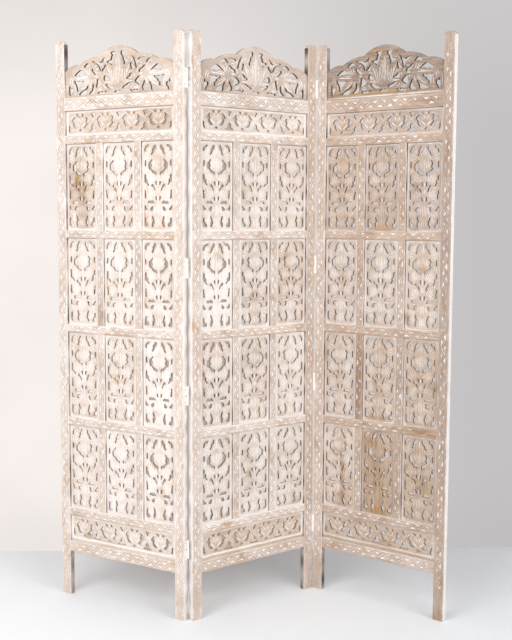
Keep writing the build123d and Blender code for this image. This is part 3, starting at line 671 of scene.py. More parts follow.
def painted_rim_shade(x, z, xs, zs, grid_holes, holes, leaf):
    """Painted shade: dark rims on the side of each hole whose thickness shows from the front,
    standing in for its shaded wall.
    """
    slope = np.gradient(grid_holes, GRID_STEP, axis=0) * SEEN_SIDE[leaf]
    i = np.clip(np.round((x - xs[0]) / (xs[1] - xs[0])).astype(int), 0, len(xs) - 1)
    j = np.clip(np.round((z - zs[0]) / (zs[1] - zs[0])).astype(int), 0, len(zs) - 1)
    return 0.9 * smoothstep(0.1, 0.4, slope[i, j]) * smoothstep(1.8, 0.3, holes)


def carved_board(name, leaf, node, span_x, span_z, middle, scale, outlines, relief,
                 material, seed, rim_outline=None):
    """A pierced board carved on both faces. scale turns the pattern's units to millimetres."""
    rng = np.random.default_rng(seed)
    xs, zs = (np.linspace(low, high, round((high - low) / GRID_STEP) + 1)
              for low, high in (span_x, span_z))
    shift = (wavy_maker(rng, PATTERN_WANDER), wavy_maker(rng, PATTERN_WANDER))

    def field(x, z):
        """The pattern's coordinates of points on the board."""
        u = (x - middle[0]) / scale[0]
        v = (z - middle[1]) / scale[1]
        return u + shift[0](u, v), v + shift[1](u, v)

    outlines = [rounded(outline) for outline in outlines]

    def distances(u, v):
        """Distances from the nearest hole and, on a crest, from its lobed edge."""
        holes = np.full(u.shape, HOLE_REACH)
        for outline in outlines:
            holes = np.minimum(holes, outline_distance(u, v, outline, HOLE_REACH))
        if rim_outline is None:
            return holes, None
        return holes, -outline_distance(u, v, rim_outline, RIM_REACH)

    grid_holes, rim = distances(*field(*np.meshgrid(xs, zs, indexing="ij")))
    solid = grid_holes if rim is None else np.minimum(grid_holes, rim)
    flat, faces = cut_grid(xs, zs, solid)
    x, z = flat[:, 0], flat[:, 1]

    u, v = field(x, z)
    holes, rim = distances(u, v)
    holes = np.maximum(holes, 0)
    border = BORDER_WHITE[leaf] if rim is None else np.maximum(rim, 0)
    depth, fill = relief(u, v, holes, border)
    depth = np.clip(depth + wavy_maker(rng, *FACE_WAVES)(u, v), 0, MOST_DEPTH)
    near_edge = 1 - smoothstep(0.0, WORN_EDGE, holes)
    points, all_faces, walls = board_skin(flat, faces, depth)

    offset = rng.uniform(-GRAIN_SHIFT, GRAIN_SHIFT, 3)
    grain = (points - (middle[0], 0, middle[1])) / 1000
    if span_x[1] - span_x[0] > span_z[1] - span_z[0]:
        grain = grain[:, ::-1]
    dirt_and_shade = np.zeros(len(flat))
    sides = LEAF_CORNER_DIRT_AND_SHADE[leaf]
    if rim_outline is not None:
        # A crest gets painted shade on the seen side of each hole, and less darkening along its
        # frame.
        sides = (0.2, 0.2, LEAF_CORNER_DIRT_AND_SHADE[leaf][3], 0.0)
        dirt_and_shade = painted_rim_shade(x, z, xs, zs, grid_holes, holes, leaf)
    # Near the frame each board is darkened, partly dirt and partly painted shade in the corner.
    gaps = (x - span_x[0], span_x[1] - x, z - span_z[0], span_z[1] - z)
    for gap, most in zip(gaps, sides):
        amount = rng.uniform(0.5, 1.0) * most
        dirt_and_shade = np.maximum(dirt_and_shade, amount * (1 - smoothstep(0.8, 2.4, gap - BOARD_LAP)))
    values = {key: np.concatenate([face, face, np.full(2 * walls, wall)])
              for key, face, wall in (("fill", fill, 0.0), ("edge", near_edge, 1.0),
                                      ("wall", np.zeros(len(flat)), 1.0),
                                      ("dirt_and_shade", dirt_and_shade, 0.0))}
    values.update(piece_tones(leaf, name, points[:, 0], points[:, 2], seed))
    number = sum(len(face) for face in all_faces)
    return make_piece(f"{name}_wood", leaf, node, points, all_faces,
                      np.ones(number, bool), values, material, grain + offset)


# --- Frame bars -----------------------------------------------------------------------------
BAR_RADIUS = (1.7, 0.8, 2.8)  # of a bar's long corners: middle, least and most
BAR_RADIUS_SWAY = 0.9
STRIP_MARGIN = 4  # least plain wood between a bar's edge and its strip
SIDE_BAND = 1.6  # how far onto the face a long side's whitewash reaches
CORNER_DEGREES = (0, 30, 60, 90)


def strip_shapes(leg_length):
    """One leg of the strip's zigzag: polygons of (T, C) with the depth of each corner and how
    much whitewash they hold. The last four are the two chips' halves."""
    half = STRIP_HALF_WIDTH
    slope = 2 * ZIGZAG_RISE / leg_length
    rectangle = [(0.0, -half), (leg_length, -half), (leg_length, half), (0.0, half)]

    def across(point):
        """How far a point lies from the zigzag's line, measured across the strip."""
        return point[1] + ZIGZAG_RISE - slope * point[0]

    lines = [(-CHIP_FROM, 0.0)]
    for offset, half_cut, _ in CUTS:
        lines += [(offset - half_cut, 0.0), (offset, CUT_DEPTH), (offset + half_cut, 0.0)]
    lines.append((CHIP_FROM, 0.0))
    shapes = []
    for (d0, deep0), (d1, deep1) in zip(lines, lines[1:]):
        polygon = clip(clip(rectangle, across, d0, 1), across, d1, -1)
        if len(polygon) < 3:
            continue
        deep = [deep0 + (deep1 - deep0) * (across(p) - d0) / (d1 - d0) for p in polygon]
        fill = FLAT_FILL
        for offset, half_cut, cut_fill in CUTS:
            if abs((d0 + d1) / 2 - offset) < half_cut:
                fill = cut_fill
        shapes.append((polygon, deep, fill))
    for offset, half_cut, cut_fill in CUTS:
        for border in (-half, half):
            run = [(border + ZIGZAG_RISE - offset + k * half_cut) / slope for k in (-1, 0, 1)]
            if run[0] < 0 or run[2] > leg_length:
                continue
            wall = [(t, border) for t in run]
            if border > 0:
                wall = wall[::-1]
            shapes.append((wall, [0.0, CUT_DEPTH, 0.0], cut_fill))
    tip = CHIP_FROM - ZIGZAG_RISE
    reach = (half - tip) / slope
    pit = tip + PIT_PLACE * (half - tip)
    chip = [(0.0, tip), (reach, half), (0.0, half), (0.0, pit)]
    turned = [(leg_length - t, -c) for t, c in chip]
    for outline in (chip, turned):
        for corners in ((0, 1, 3), (1, 2, 3)):
            shapes.append(([outline[k] for k in corners],
                           [CHIP_DEPTH * (k == 3) for k in corners], CHIP_FILL))
    return shapes


class Bar:
    """A stile, rail or mullion: a loft along T with rounded corners and carved strips.

    C runs across the bar and Y through it, both from its middle. opening is the scale of the
    strip that the loft leaves room for."""

    def __init__(self, width, depth, seed, opening=1.0):
        self.half_width = width / 2
        self.half_depth = depth / 2
        self.opening = opening
        self.rng = np.random.default_rng(seed)
        self.wave = wavy_maker(self.rng, 0.28)
        self.points = []
        self.fill = []
        self.edge = []
        self.faces = {}
        self.count = 0

    def add(self, points, faces, fill, edge):
        """Add points (C, Y, T) with faces given as lists of their indices."""
        self.points.append(np.asarray(points, float))
        self.fill.append(np.broadcast_to(np.asarray(fill, float), (len(points),)))
        self.edge.append(np.broadcast_to(np.asarray(edge, float), (len(points),)))
        for face in faces:
            self.faces.setdefault(len(face), []).append([self.count + k for k in face])
        self.count += len(points)

    def ring(self, t, half_width, half_depth, radius, gap):
        """Points round the bar at T, from the right border of the front strip, and how much
        each is an edge."""
        steps = [math.radians(a) for a in CORNER_DEGREES]
        ring = []
        for side in (1, -1):
            ring.append((side * gap, -side * half_depth, t))
            for y_sign, order in ((-side, steps), (side, steps[::-1])):
                for a in order:
                    ring.append((side * (half_width - radius * (1 - math.sin(a))),
                                 y_sign * (half_depth - radius * (1 - math.cos(a))), t))
            ring.append((side * gap, side * half_depth, t))
        return ring, ([0.0] + [1.0] * 2 * len(steps) + [0.0]) * 2

    def loft(self, stations, strip, low_fill, high_fill):
        """The bar's skin through stations of (t, half width, end inset). strip is its range.

        low_fill and high_fill are the whitewash on its two long sides, below and above C."""
        middle, least, most = BAR_RADIUS
        rings = []
        points, edges = [], []
        for t, half_width, inset in stations:
            radius = min(max(middle + BAR_RADIUS_SWAY * float(self.wave(t, 3.0)), least), most)
            ring, edge = self.ring(t, half_width - inset, self.half_depth - inset, radius,
                                   min(STRIP_HALF_WIDTH * self.opening,
                                       half_width - STRIP_MARGIN))
            rings.append(len(points))
            points += ring
            edges += edge
        size = len(ring)
        faces = []
        for low, high, start, end in zip(rings, rings[1:], stations, stations[1:]):
            inside = strip and start[0] >= strip[0] - 0.01 and end[0] <= strip[1] + 0.01
            for k in range(size):
                after = (k + 1) % size
                carved = k == size - 1 or k == size // 2 - 1
                if carved and inside:
                    continue
                faces.append([low + k, low + after, high + after, high + k])
        faces.append([rings[0] + k for k in range(size)][::-1])
        faces.append([rings[-1] + k for k in range(size)])
        c = np.asarray(points)[:, 0]
        fills = np.where(np.abs(c) < self.half_width - STRIP_MARGIN, BORDER_FILL, 0.0)
        fills[c < SIDE_BAND - self.half_width] = low_fill
        fills[c > self.half_width - SIDE_BAND] = high_fill
        self.add(points, faces, fills, edges)

    def strip(self, start, end, scale):
        """The chip-carved strip on both faces, from T start to end."""
        legs = max(2, round((end - start) / STRIP_HALF_PITCH))
        leg_length = (end - start) / legs
        shapes = strip_shapes(leg_length)
        chips_from = len(shapes) - 4
        for side in (-1, 1):
            wander = wavy_maker(self.rng, STRIP_WANDER)
            vigour = wavy_maker(self.rng, STRIP_VIGOUR)
            for leg in range(legs):
                chip_white = self.rng.uniform(0.0, MOST_WHITE, 2)
                cut_white = self.rng.uniform(0.0, MOST_WHITE)
                for number, (polygon, deep, fill) in enumerate(shapes):
                    if number >= chips_from:
                        fill = fill * chip_white[(number - chips_from) // 2]
                    elif fill > 0:
                        fill = fill * cut_white
                    points = []
                    for (tau, c), down in zip(polygon, deep):
                        t = start + leg * leg_length
                        t += tau if leg % 2 == 0 else leg_length - tau
                        ramp = min(1.0, (t - start) / STRIP_RAMP, (end - t) / STRIP_RAMP)
                        down = down * max(ramp, 0) * (1 + float(vigour(t, 0.0)))
                        fade = 1 - abs(c / STRIP_HALF_WIDTH) ** 4
                        moved = c + fade * float(wander(t, c)) * ramp
                        points.append((moved * scale, side * (self.half_depth - down), t))
                    order = list(range(len(points)))
                    if (leg % 2 == 0) == (side == -1):
                        order = order[::-1]
                    self.add(points, [order], fill, 0.0)


def clip(polygon, value, limit, sign):
    """The part of a convex polygon where sign * (value - limit) is positive."""
    out = []
    for a, b in zip(polygon, polygon[1:] + polygon[:1]):
        va, vb = sign * (value(a) - limit), sign * (value(b) - limit)
        if va >= 0:
            out.append(a)
        if (va > 0 > vb) or (va < 0 < vb):
            t = va / (va - vb)
            out.append((a[0] + t * (b[0] - a[0]), a[1] + t * (b[1] - a[1])))
    return out


# --- Materials ------------------------------------------------------------------------------


class Nodes:
    """Short calls that add shader nodes to one material."""

    def __init__(self, tree):
        self.tree = tree

    def add(self, kind, **settings):
        """A new node with its settings made."""
        node = self.tree.nodes.new(kind)
        for key, value in settings.items():
            setattr(node, key, value)
        return node

    def put(self, socket, value):
        """Link a socket into another, or set that one's value."""
        if isinstance(value, bpy.types.NodeSocket):
            self.tree.links.new(value, socket)
        else:
            socket.default_value = value

    def attribute(self, name):
        """One of the mesh's own attributes."""
        node = self.add("ShaderNodeAttribute", attribute_name=name)
        return node.outputs["Vector"] if name == "grain" else node.outputs["Fac"]

    def math(self, operation, *values, clamp=False):
        """The result of one operation on its values."""
        node = self.add("ShaderNodeMath", operation=operation, use_clamp=clamp)
        for socket, value in zip(node.inputs, values):
            self.put(socket, value)
        return node.outputs[0]

    def noise(self, place, stretch, detail=3.0, roughness=0.55):
        """Noise from 0 to 1 about 0.5, finer where stretch is larger."""
        scaled = self.add("ShaderNodeVectorMath", operation="MULTIPLY")
        self.put(scaled.inputs[0], place)
        self.put(scaled.inputs[1], stretch)
        node = self.add("ShaderNodeTexNoise")
        for key, value in (("Vector", scaled.outputs[0]), ("Scale", 1.0), ("Detail", detail),
                           ("Roughness", roughness)):
            self.put(node.inputs[key], value)
        return node.outputs["Fac"]

    def mix(self, factor, a, b):
        """a where factor is 0, b where it is 1."""
        node = self.add("ShaderNodeMix", data_type="RGBA")
        for key, value in (("Factor", factor), ("A", a), ("B", b)):
            self.put(node.inputs[key], value)
        return node.outputs["Result"]

    def rise(self, value, low, high):
        """0 below low, 1 above high, smooth between."""
        node = self.add("ShaderNodeMapRange", interpolation_type="SMOOTHSTEP")
        for key, given in (("Value", value), ("From Min", low), ("From Max", high)):
            self.put(node.inputs[key], given)
        return node.outputs["Result"]

    def bump(self, height, strength, distance):
        """A normal that follows height, distance being in metres."""
        node = self.add("ShaderNodeBump")
        for key, value in (("Strength", strength), ("Distance", distance), ("Height", height)):
            self.put(node.inputs[key], value)
        return node.outputs["Normal"]

    def total(self, start, *terms):
        """start plus each (value - centre) * weight."""
        result = start
        for value, centre, weight in terms:
            centred = self.math("SUBTRACT", value, centre)
            result = self.math("ADD", result, self.math("MULTIPLY", centred, weight))
        return result


def srgb(r, g, b):
    """A linear colour with alpha from an sRGB one of 0 to 255."""
    linear = [c / 12.92 if c <= 0.04045 else ((c + 0.055) / 1.055) ** 2.4
              for c in (r / 255, g / 255, b / 255)]
    return (*linear, 1.0)


def new_material(name):
    """A material, short calls for its nodes, and its shader."""
    material = bpy.data.materials.new(name)
    material.use_nodes = True
    tree = material.node_tree
    return material, Nodes(tree), tree.nodes["Principled BSDF"]


def emptied(block):
    """Short calls for the nodes of a material or world that starts with none."""
    block.use_nodes = True
    block.node_tree.nodes.clear()
    return Nodes(block.node_tree)


def limed_wood(name, tan, brown, white, dark, rough):
    """Mango wood under worn whitewash, which stays in the cuts and corners.

    dark is how dark the sides of the holes are, as dirty bare wood and painted shade, and rough
    how uneven the whitewash."""
    material, n, shader = new_material(name)
    place = n.attribute("grain")
    patches = n.noise(place, (22, 22, 9), 3.0)
    streaks = n.noise(place, (150, 150, 11), 3.0, 0.6)
    fibres = n.noise(place, (420, 420, 30), 2.0, 0.6)
    specks = n.noise(place, (250, 250, 190), 2.0, 0.6)
    worn = n.noise(place, (46, 46, 16), 4.0, 0.65)
    wash, fill, edge, wall, dirt_and_shade, grey, stain = (
        n.attribute(key) for key in ("wash", "fill", "edge", "wall", "dirt_and_shade", "grey", "stain"))

    figure = n.total(0.5, (streaks, 0.5, 1.4), (fibres, 0.5, 1.4), (specks, 0.5, 0.5))
    wood = n.mix(n.rise(figure, 0.1, 0.95), tan, brown)
    wood = n.mix(grey, wood, n.mix(figure, srgb(183, 164, 151), srgb(122, 102, 89)))
    wood = n.mix(stain, wood, n.mix(figure, srgb(205, 163, 102), srgb(132, 92, 52)))
    cover = n.total(wash, (patches, 0.5, 0.9), (streaks, 0.5, 0.9), (fibres, 0.5, 1.3 * rough),
                    (specks, 0.5, 1.3 * rough), (fill, 0.0, 0.8), (edge, 0.0, -0.1),
                    (wall, 0.0, -0.5), (stain, 0.0, -0.35))
    cover = n.rise(cover, -0.1, 1.1)
    dull = n.math("MULTIPLY", grey, n.math("SUBTRACT", 1.0, fill, clamp=True))
    paint = n.mix(dull, white, srgb(208, 197, 190))
    colour = n.mix(cover, wood, paint)
    bare = n.total(n.rise(worn, 0.56, 0.7), (edge, 0.0, 0.35), (fill, 0.0, -0.9))
    bare = n.math("MULTIPLY", n.rise(bare, 0.35, 1.1), 0.6)
    colour = n.mix(bare, colour, n.mix(figure, srgb(208, 172, 141), srgb(164, 126, 96)))
    # Dirt and painted shade: the holes' sides and the marked corners and side faces go dark
    # brown, near black where grey.
    shade = n.total(dark, (n.rise(patches, 0.4, 0.62), 0.0, 0.3), (grey, 0.0, 0.8))
    shade = n.math("MAXIMUM", n.math("MULTIPLY", wall, shade, clamp=True), dirt_and_shade)
    colour = n.mix(n.math("MULTIPLY", shade, 0.95, clamp=True), colour,
                   n.mix(grey, n.mix(specks, srgb(92, 70, 57), srgb(54, 40, 32)),
                         srgb(24, 18, 14)))
    n.put(shader.inputs["Base Color"], colour)
    n.put(shader.inputs["Roughness"],
          n.total(0.74, (cover, 0.5, 0.22), (fibres, 0.5, 0.2)))
    n.put(shader.inputs["Specular IOR Level"], 0.25)
    height = n.total(0.5, (fibres, 0.5, 0.7), (specks, 0.5, 0.4), (cover, 0.5, 0.35))
    n.put(shader.inputs["Normal"], n.bump(height, 0.45, 0.0005))
    return material


def painted_metal(name, paint, metal, worn):
    """Brushed-over paint with bare, dull metal where it has chipped."""
    material, n, shader = new_material(name)
    place = n.add("ShaderNodeTexCoord").outputs["Object"]
    chips = n.total(worn, (n.noise(place, (140, 140, 140), 4.0, 0.65), 0.5, 1.6),
                    (n.noise(place, (620, 620, 620), 2.0), 0.5, 0.8))
    bare = n.rise(chips, 0.45, 0.6)
    shade = n.noise(place, (70, 70, 70), 3.0)
    colour = n.mix(bare, n.mix(shade, paint, srgb(236, 230, 222)),
                   n.mix(shade, metal, srgb(96, 84, 74)))
    n.put(shader.inputs["Base Color"], colour)
    n.put(shader.inputs["Metallic"], n.math("MULTIPLY", bare, 0.75))
    n.put(shader.inputs["Roughness"], n.total(0.62, (bare, 0.0, -0.16), (shade, 0.5, 0.2)))
    height = n.total(0.5, (bare, 0.5, -0.8), (shade, 0.5, 0.5))
    n.put(shader.inputs["Normal"], n.bump(height, 0.4, 0.0002))
    return material


FRAME_WOOD = limed_wood("frame_wood", srgb(220, 195, 174), srgb(170, 144, 123),
                        srgb(246, 240, 237), 0.6, 1.0)
PANEL_WOOD = limed_wood("panel_wood", srgb(220, 194, 171), srgb(166, 139, 116),
                        srgb(246, 240, 236), 0.02, 0.6)
CREST_WOOD = limed_wood("crest_wood", srgb(216, 189, 166), srgb(150, 125, 103),
                        srgb(247, 241, 237), 0.8, 0.7)
HINGE_PAINT = painted_metal("hinge_paint", srgb(255, 254, 252), srgb(150, 142, 132), 0.22)
PIN_STEEL = painted_metal("pin_steel", srgb(236, 232, 226), srgb(138, 130, 120), 0.5)
SCREW_STEEL = painted_metal("screw_steel", srgb(232, 228, 222), srgb(120, 112, 104), 0.45)


# --- The frame's pieces ---------------------------------------------------------------------
# How white, how grey and how stained each leaf's wood is. The right leaf's low wash and high
# grey are partly its own tone and partly painted shade for the light falling off towards it.
LEAF_WASH_AND_SHADE = {"left": 0.56, "middle": 0.58, "right": 0.22}
LEAF_GREY = {"left": 0.0, "middle": 0.2, "right": 0.4}
# Less or more whitewash on single pieces.
PIECE_WASH = {
    "left_stile_right": -0.05, "middle_stile_left": -0.05, "middle_stile_right": -0.2,
    "right_stile_left": 0.22, "right_stile_right": -0.09,
    "left_crest": -0.27, "middle_crest": -0.3, "right_crest": -0.5,
    "left_top_frieze": -0.14, "middle_top_frieze": -0.08,
    "left_bottom_frieze": -0.14, "middle_bottom_frieze": -0.36, "right_bottom_frieze": -0.12,
    "right_panel_3_1": 0.12, "right_panel_3_3": 0.12, "right_bottom_rail": 0.16,
    "left_panel_4_1": -0.15, "middle_panel_3_2": -0.1, "middle_panel_3_3": -0.2,
    "middle_panel_2_1": -0.04, "middle_panel_2_2": -0.1, "middle_panel_1_2": -0.04,
    "middle_panel_3_1": 0.1, "right_panel_1_2": -0.26, "right_panel_1_3": -0.08,
    "right_panel_2_1": 0.06, "right_panel_2_3": -0.06, "right_panel_3_2": 0.18,
    "right_panel_4_2": -0.05, "right_panel_4_1": -0.04, "right_panel_4_3": 0.05,
    "right_panel_1_1": 0.05, "left_bottom_rail": -0.05, "middle_bottom_rail": -0.12,
    "middle_top_rail": 0.12, "left_top_rail": 0.08,
}
# Marks on single pieces: middle, reach, and how much whiter, greyer and more stained.
MARKS = {
    "left_panel_4_1": [((79, 1389), (9, 17), (-0.4, 0.0, 1.0)),
                       ((84, 1380), (40, 66), (-0.3, 0.4, 0.15)),
                       ((112, 1300), (26, 56), (-0.2, 0.3, 0.0))],
    "left_crest": [((270, 1715), (60, 60), (-0.15, 0.3, 0.0))],
    "left_top_frieze": [((400, 1565), (90, 60), (-0.25, 0.25, 0.0))],
    "middle_top_frieze": [((90, 1565), (80, 60), (-0.15, 0.3, 0.0))],
    "middle_crest": [((90, 1680), (90, 50), (-0.2, 0.45, 0.0))],
    "right_crest": [((250, 1720), (400, 200), (0.0, 0.75, 0.0)),
                    ((220, 1665), (240, 5), (0.1, -0.6, 0.75)),
                    ((250, 1655.5), (300, 3.5), (1.3, -0.8, 0.0)),
                    ((230, 1792), (50, 9), (0.0, -0.4, 0.5)),
                    ((120, 1700), (60, 50), (0.15, -0.2, 0.1))],
    "right_top_frieze": [((380, 1570), (160, 60), (0.1, 0.3, 0.0))],
    "middle_panel_3_3": [((402, 1060), (70, 150), (0.0, 0.25, 0.1))],
    "middle_panel_3_2": [((250, 1060), (70, 150), (0.0, 0.2, 0.0))],
    "middle_panel_2_2": [((250, 820), (50, 110), (-0.1, 0.35, 0.0))],
    "middle_panel_2_1": [((98, 700), (60, 80), (0.0, 0.3, 0.0))],
    "middle_panel_1_2": [((250, 440), (60, 120), (0.0, 0.2, 0.0))],
    "right_panel_4_3": [((402, 1365), (70, 190), (0.0, 0.25, 0.0))],
    "right_panel_1_2": [((249, 440), (70, 190), (-0.1, 0.4, 0.05)),
                        ((249, 400), (50, 90), (-0.12, 0.0, 0.25)),
                        ((249, 318), (40, 16), (-0.2, 0.0, 0.7)),
                        ((225, 540), (26, 26), (-0.2, 0.0, 0.5))],
    "right_panel_1_1": [((112, 410), (12, 90), (-0.4, 0.3, 0.25)),
                        ((112, 330), (30, 40), (-0.2, 0.2, 0.2))],
    "right_panel_4_1": [((80, 1400), (60, 110), (0.0, 0.0, 0.25))],
    "right_panel_2_2": [((249, 625), (50, 14), (-0.2, 0.0, 0.4))],
    "right_panel_4_2": [((249, 1240), (50, 16), (-0.2, 0.0, 0.4))],
    "right_stile_right": [((482, 1000), (60, 900), (0.0, 0.35, 0.0))],
    "middle_stile_right": [((482, 1000), (60, 1200), (0.0, 0.3, 0.0))],
    "right_mullion_2_1": [((174, 750), (30, 170), (-0.12, 0.5, 0.25))],
    "left_mullion_3_1": [((174, 930), (30, 60), (-0.15, 0.5, 0.0)),
                         ((174, 1060), (30, 160), (0.0, 0.3, 0.0))],
    "left_mullion_3_2": [((312, 1100), (30, 120), (0.0, 0.25, 0.0))],
    "right_mullion_2_2": [((326, 750), (30, 170), (0.05, 0.25, 0.0))],
    "right_row_rail_3": [((420, 594), (90, 30), (-0.3, 0.3, 0.3))],
    "middle_top_rail": [((250, 1630), (400, 40), (0.0, 0.3, 0.0))],
    "right_panel_1_3": [((402, 440), (70, 190), (0.0, 0.3, 0.12))],
    "right_top_rail": [((440, 1620), (60, 30), (-0.3, 0.3, 0.0))],
}


def piece_tones(leaf, name, x, z, seed):
    """The wash, grey and stain of one piece's points."""
    rng = np.random.default_rng(seed)
    wash = LEAF_WASH_AND_SHADE[leaf] + PIECE_WASH.get(name, 0.0) + rng.uniform(-0.07, 0.07)
    wash = np.full(len(x), wash)
    grey = np.full(len(x), LEAF_GREY[leaf] + rng.uniform(-0.1, 0.12))
    stain = np.zeros(len(x))
    marks = list(MARKS.get(name, []))
    for _ in range(rng.integers(1, 4)):
        spot = (rng.uniform(x.min(), x.max()), rng.uniform(z.min(), z.max()))
        reach = rng.uniform(8, 26, 2)
        marks.append((spot, reach, (-rng.uniform(0, 0.25), rng.uniform(-0.1, 0.25),
                                    rng.uniform(0, 0.3))))
    for spot, reach, change in marks:
        near = np.exp(-((x - spot[0]) / reach[0]) ** 2 - ((z - spot[1]) / reach[1]) ** 2)
        wash += change[0] * near
        grey += change[1] * near
        stain += change[2] * near
    return {"wash": wash, "grey": np.clip(grey, 0, 1), "stain": np.clip(stain, 0, 1)}


def bar_piece(bar, name, leaf, node, to_leaf, seed, side_dirt_and_shade, limed=(None, None),
              seam_shade=(0.0, 0.0)):
    """The object of a finished bar. to_leaf turns its points (C, Y, T) to the leaf's frame.

    Each pair is for the side faces below C and above it: how far dirt and painted shade darken
    them, how much whitewash fills them, and how much painted shade darkens their back edges."""
    local = np.concatenate(bar.points)
    placed = to_leaf(local)
    rng = np.random.default_rng(seed)
    faces = [np.asarray(rows) for _, rows in sorted(bar.faces.items())]
    number = sum(len(rows) for rows in faces)
    uneven = 0.75 + np.array([float(bar.wave(t, 50.0)) for t in local[:, 2]])
    deep = np.abs(local[:, 1]) < bar.half_depth - 0.7
    back = local[:, 1] > bar.half_depth - 2.5
    dirt_and_shade = np.zeros(len(local))
    fill = np.concatenate(bar.fill)
    # Side faces are darkened with dirt and painted shade, back edges with painted shade.
    for side, face_dirt_and_shade, white, back_edge_shade in zip((-1, 1), side_dirt_and_shade, limed, seam_shade):
        out = side * local[:, 0] - bar.half_width
        dirt_and_shade = np.maximum(dirt_and_shade, face_dirt_and_shade * uneven * deep * (out > -0.2))
        dirt_and_shade = np.maximum(dirt_and_shade, back_edge_shade * uneven * back * (out > -0.39))
        if white is not None:
            fill = np.where(deep & (out > -0.2), white, fill)
    values = {"fill": fill, "edge": np.concatenate(bar.edge), "wall": 0.0, "dirt_and_shade": dirt_and_shade}
    values.update(piece_tones(leaf, name, placed[:, 0], placed[:, 2], seed))
    grain = local / 1000 + rng.uniform(-GRAIN_SHIFT, GRAIN_SHIFT, 3)
    return make_piece(f"{name}_wood", leaf, node, placed, faces,
                      np.zeros(number, bool), values, FRAME_WOOD, grain)


STATION_STEP = 12.0


def stations(length, strip):
    """Places along a bar, among them the strip's two ends."""
    marks = [0.0, *strip, length]
    out = [0.0]
    for low, high in zip(marks, marks[1:]):
        count = max(1, round((high - low) / STATION_STEP))
        out += [low + (high - low) * k / count for k in range(1, count + 1)]
    return out


# The whitewash on stiles' outer faces, and painted shade deep in the near fold.
OUTER_WHITE = {"left_stile_right": 0.6, "middle_stile_left": 0.9, "right_stile_right": 1.1}
NEAR_FOLD_SHADE = {"left_stile_right": 0.5, "middle_stile_left": 0.5}
FOOT_INSET, FOOT_HEIGHT = 1.0, 1.2  # the chamfer round a stile's foot
TOP_DEGREES = (20, 40, 60, 76)  # steps round a stile's rounded top
TOP_INSET = 0.4


def make_stile(leaf, side, strip, seed):
    """One upright, strip being the range of its carving above the floor."""
    bar = Bar(STILE_FACE, STILE_DEPTH, seed)
    half = STILE_FACE / 2
    radius = STILE_TOP_RADIUS
    places = [(0.0, half, FOOT_INSET), (FOOT_HEIGHT, half, 0.0)]
    places += [(t, half, 0.0) for t in stations(LEAF_HEIGHT - radius, strip)[1:]]
    for a in map(math.radians, TOP_DEGREES):
        places.append((LEAF_HEIGHT - radius + radius * math.sin(a),
                       half - radius + radius * math.cos(a), 0.0))
    places.append((LEAF_HEIGHT, half - radius, TOP_INSET))
    bar.loft(places, strip, 0.3, 0.3)
    bar.strip(*strip, 1.0)
    middle = half if side == "left" else LEAF_WIDTH - half

    def to_leaf(p):
        return np.stack([middle + p[:, 0], MID_DEPTH + p[:, 1], p[:, 2]], 1)

    name = f"{leaf}_stile_{side}"
    # The inner side face is darkened with dirt and painted shade; listed outer faces get
    # whitewash.
    pairs = [(0.0, 0.8), (OUTER_WHITE.get(name), None), (NEAR_FOLD_SHADE.get(name, 0.0), 0.0)]
    if side == "right":
        pairs = [pair[::-1] for pair in pairs]
    bar_piece(bar, name, leaf, name, to_leaf, seed, *pairs)


RAIL_LAP = 1.5  # how far a rail's mesh runs into each stile
RAIL_STRIPS = {"left": (4.0, 424.0), "middle": (12.0, 416.0), "right": (22.0, 406.0)}


def make_rail(leaf, name, low, height, scale, seed):
    """One rail, scale being its strip's."""
    bar = Bar(height, RAIL_DEPTH, seed, scale)
    strip = tuple(end + RAIL_LAP for end in RAIL_STRIPS[leaf])
    places = stations(OPENING + 2 * RAIL_LAP, strip)
    bar.loft([(t, height / 2, 0.0) for t in places], strip, 0.5, -0.4)
    bar.strip(*strip, scale)

    def to_leaf(p):
        return np.stack([STILE_FACE - RAIL_LAP + p[:, 2], MID_DEPTH + p[:, 1],
                         low + height / 2 - p[:, 0]], 1)

    # Its underside is darkened as painted shadow under the rail; its upper side face only a
    # little, with dirt and painted shade.
    bar_piece(bar, f"{leaf}_{name}", leaf, f"{leaf}_{name}", to_leaf, seed, (0.1, 0.7))


MULLION_PLAIN = 20.0  # plain wood beyond each end of a mullion's strip
MULLION_STRIP_SCALE = 0.95


def make_mullion(leaf, row, column, low, height, seed):
    """One short upright between two panels of a row.

    Its strip is narrower than the opening that the loft leaves, which has scale 1, so a slit
    0.375 mm wide stays open along both sides of the strip, on both faces."""
    bar = Bar(MULLION_WIDTH, MULLION_DEPTH, seed)
    strip = (MULLION_PLAIN + RAIL_LAP, height - MULLION_PLAIN + RAIL_LAP)
    places = stations(height + 2 * RAIL_LAP, strip)
    bar.loft([(t, MULLION_WIDTH / 2, 0.0) for t in places], strip, 0.1, 0.5)
    bar.strip(*strip, MULLION_STRIP_SCALE)
    middle = STILE_FACE + column * COLUMN_PITCH - MULLION_WIDTH / 2

    def to_leaf(p):
        return np.stack([middle + p[:, 0], MID_DEPTH + p[:, 1], low - RAIL_LAP + p[:, 2]], 1)

    # Both side faces are darkened with dirt and painted shade.
    bar_piece(bar, f"{leaf}_mullion_{row}_{column}", leaf, f"{leaf}_mullions", to_leaf, seed,
              (0.8, 0.8))


STRIP_TOPS = {"left": (1762.0, 1782.0), "middle": (1752.0, 1738.0), "right": (1778.0, 1794.0)}
STRIP_FOOT = 106.0
RAIL_STRIP_SCALES = {"top_rail": 1.35, "bottom_rail": 1.25}
THIN_STRIP_SCALE = 1.0


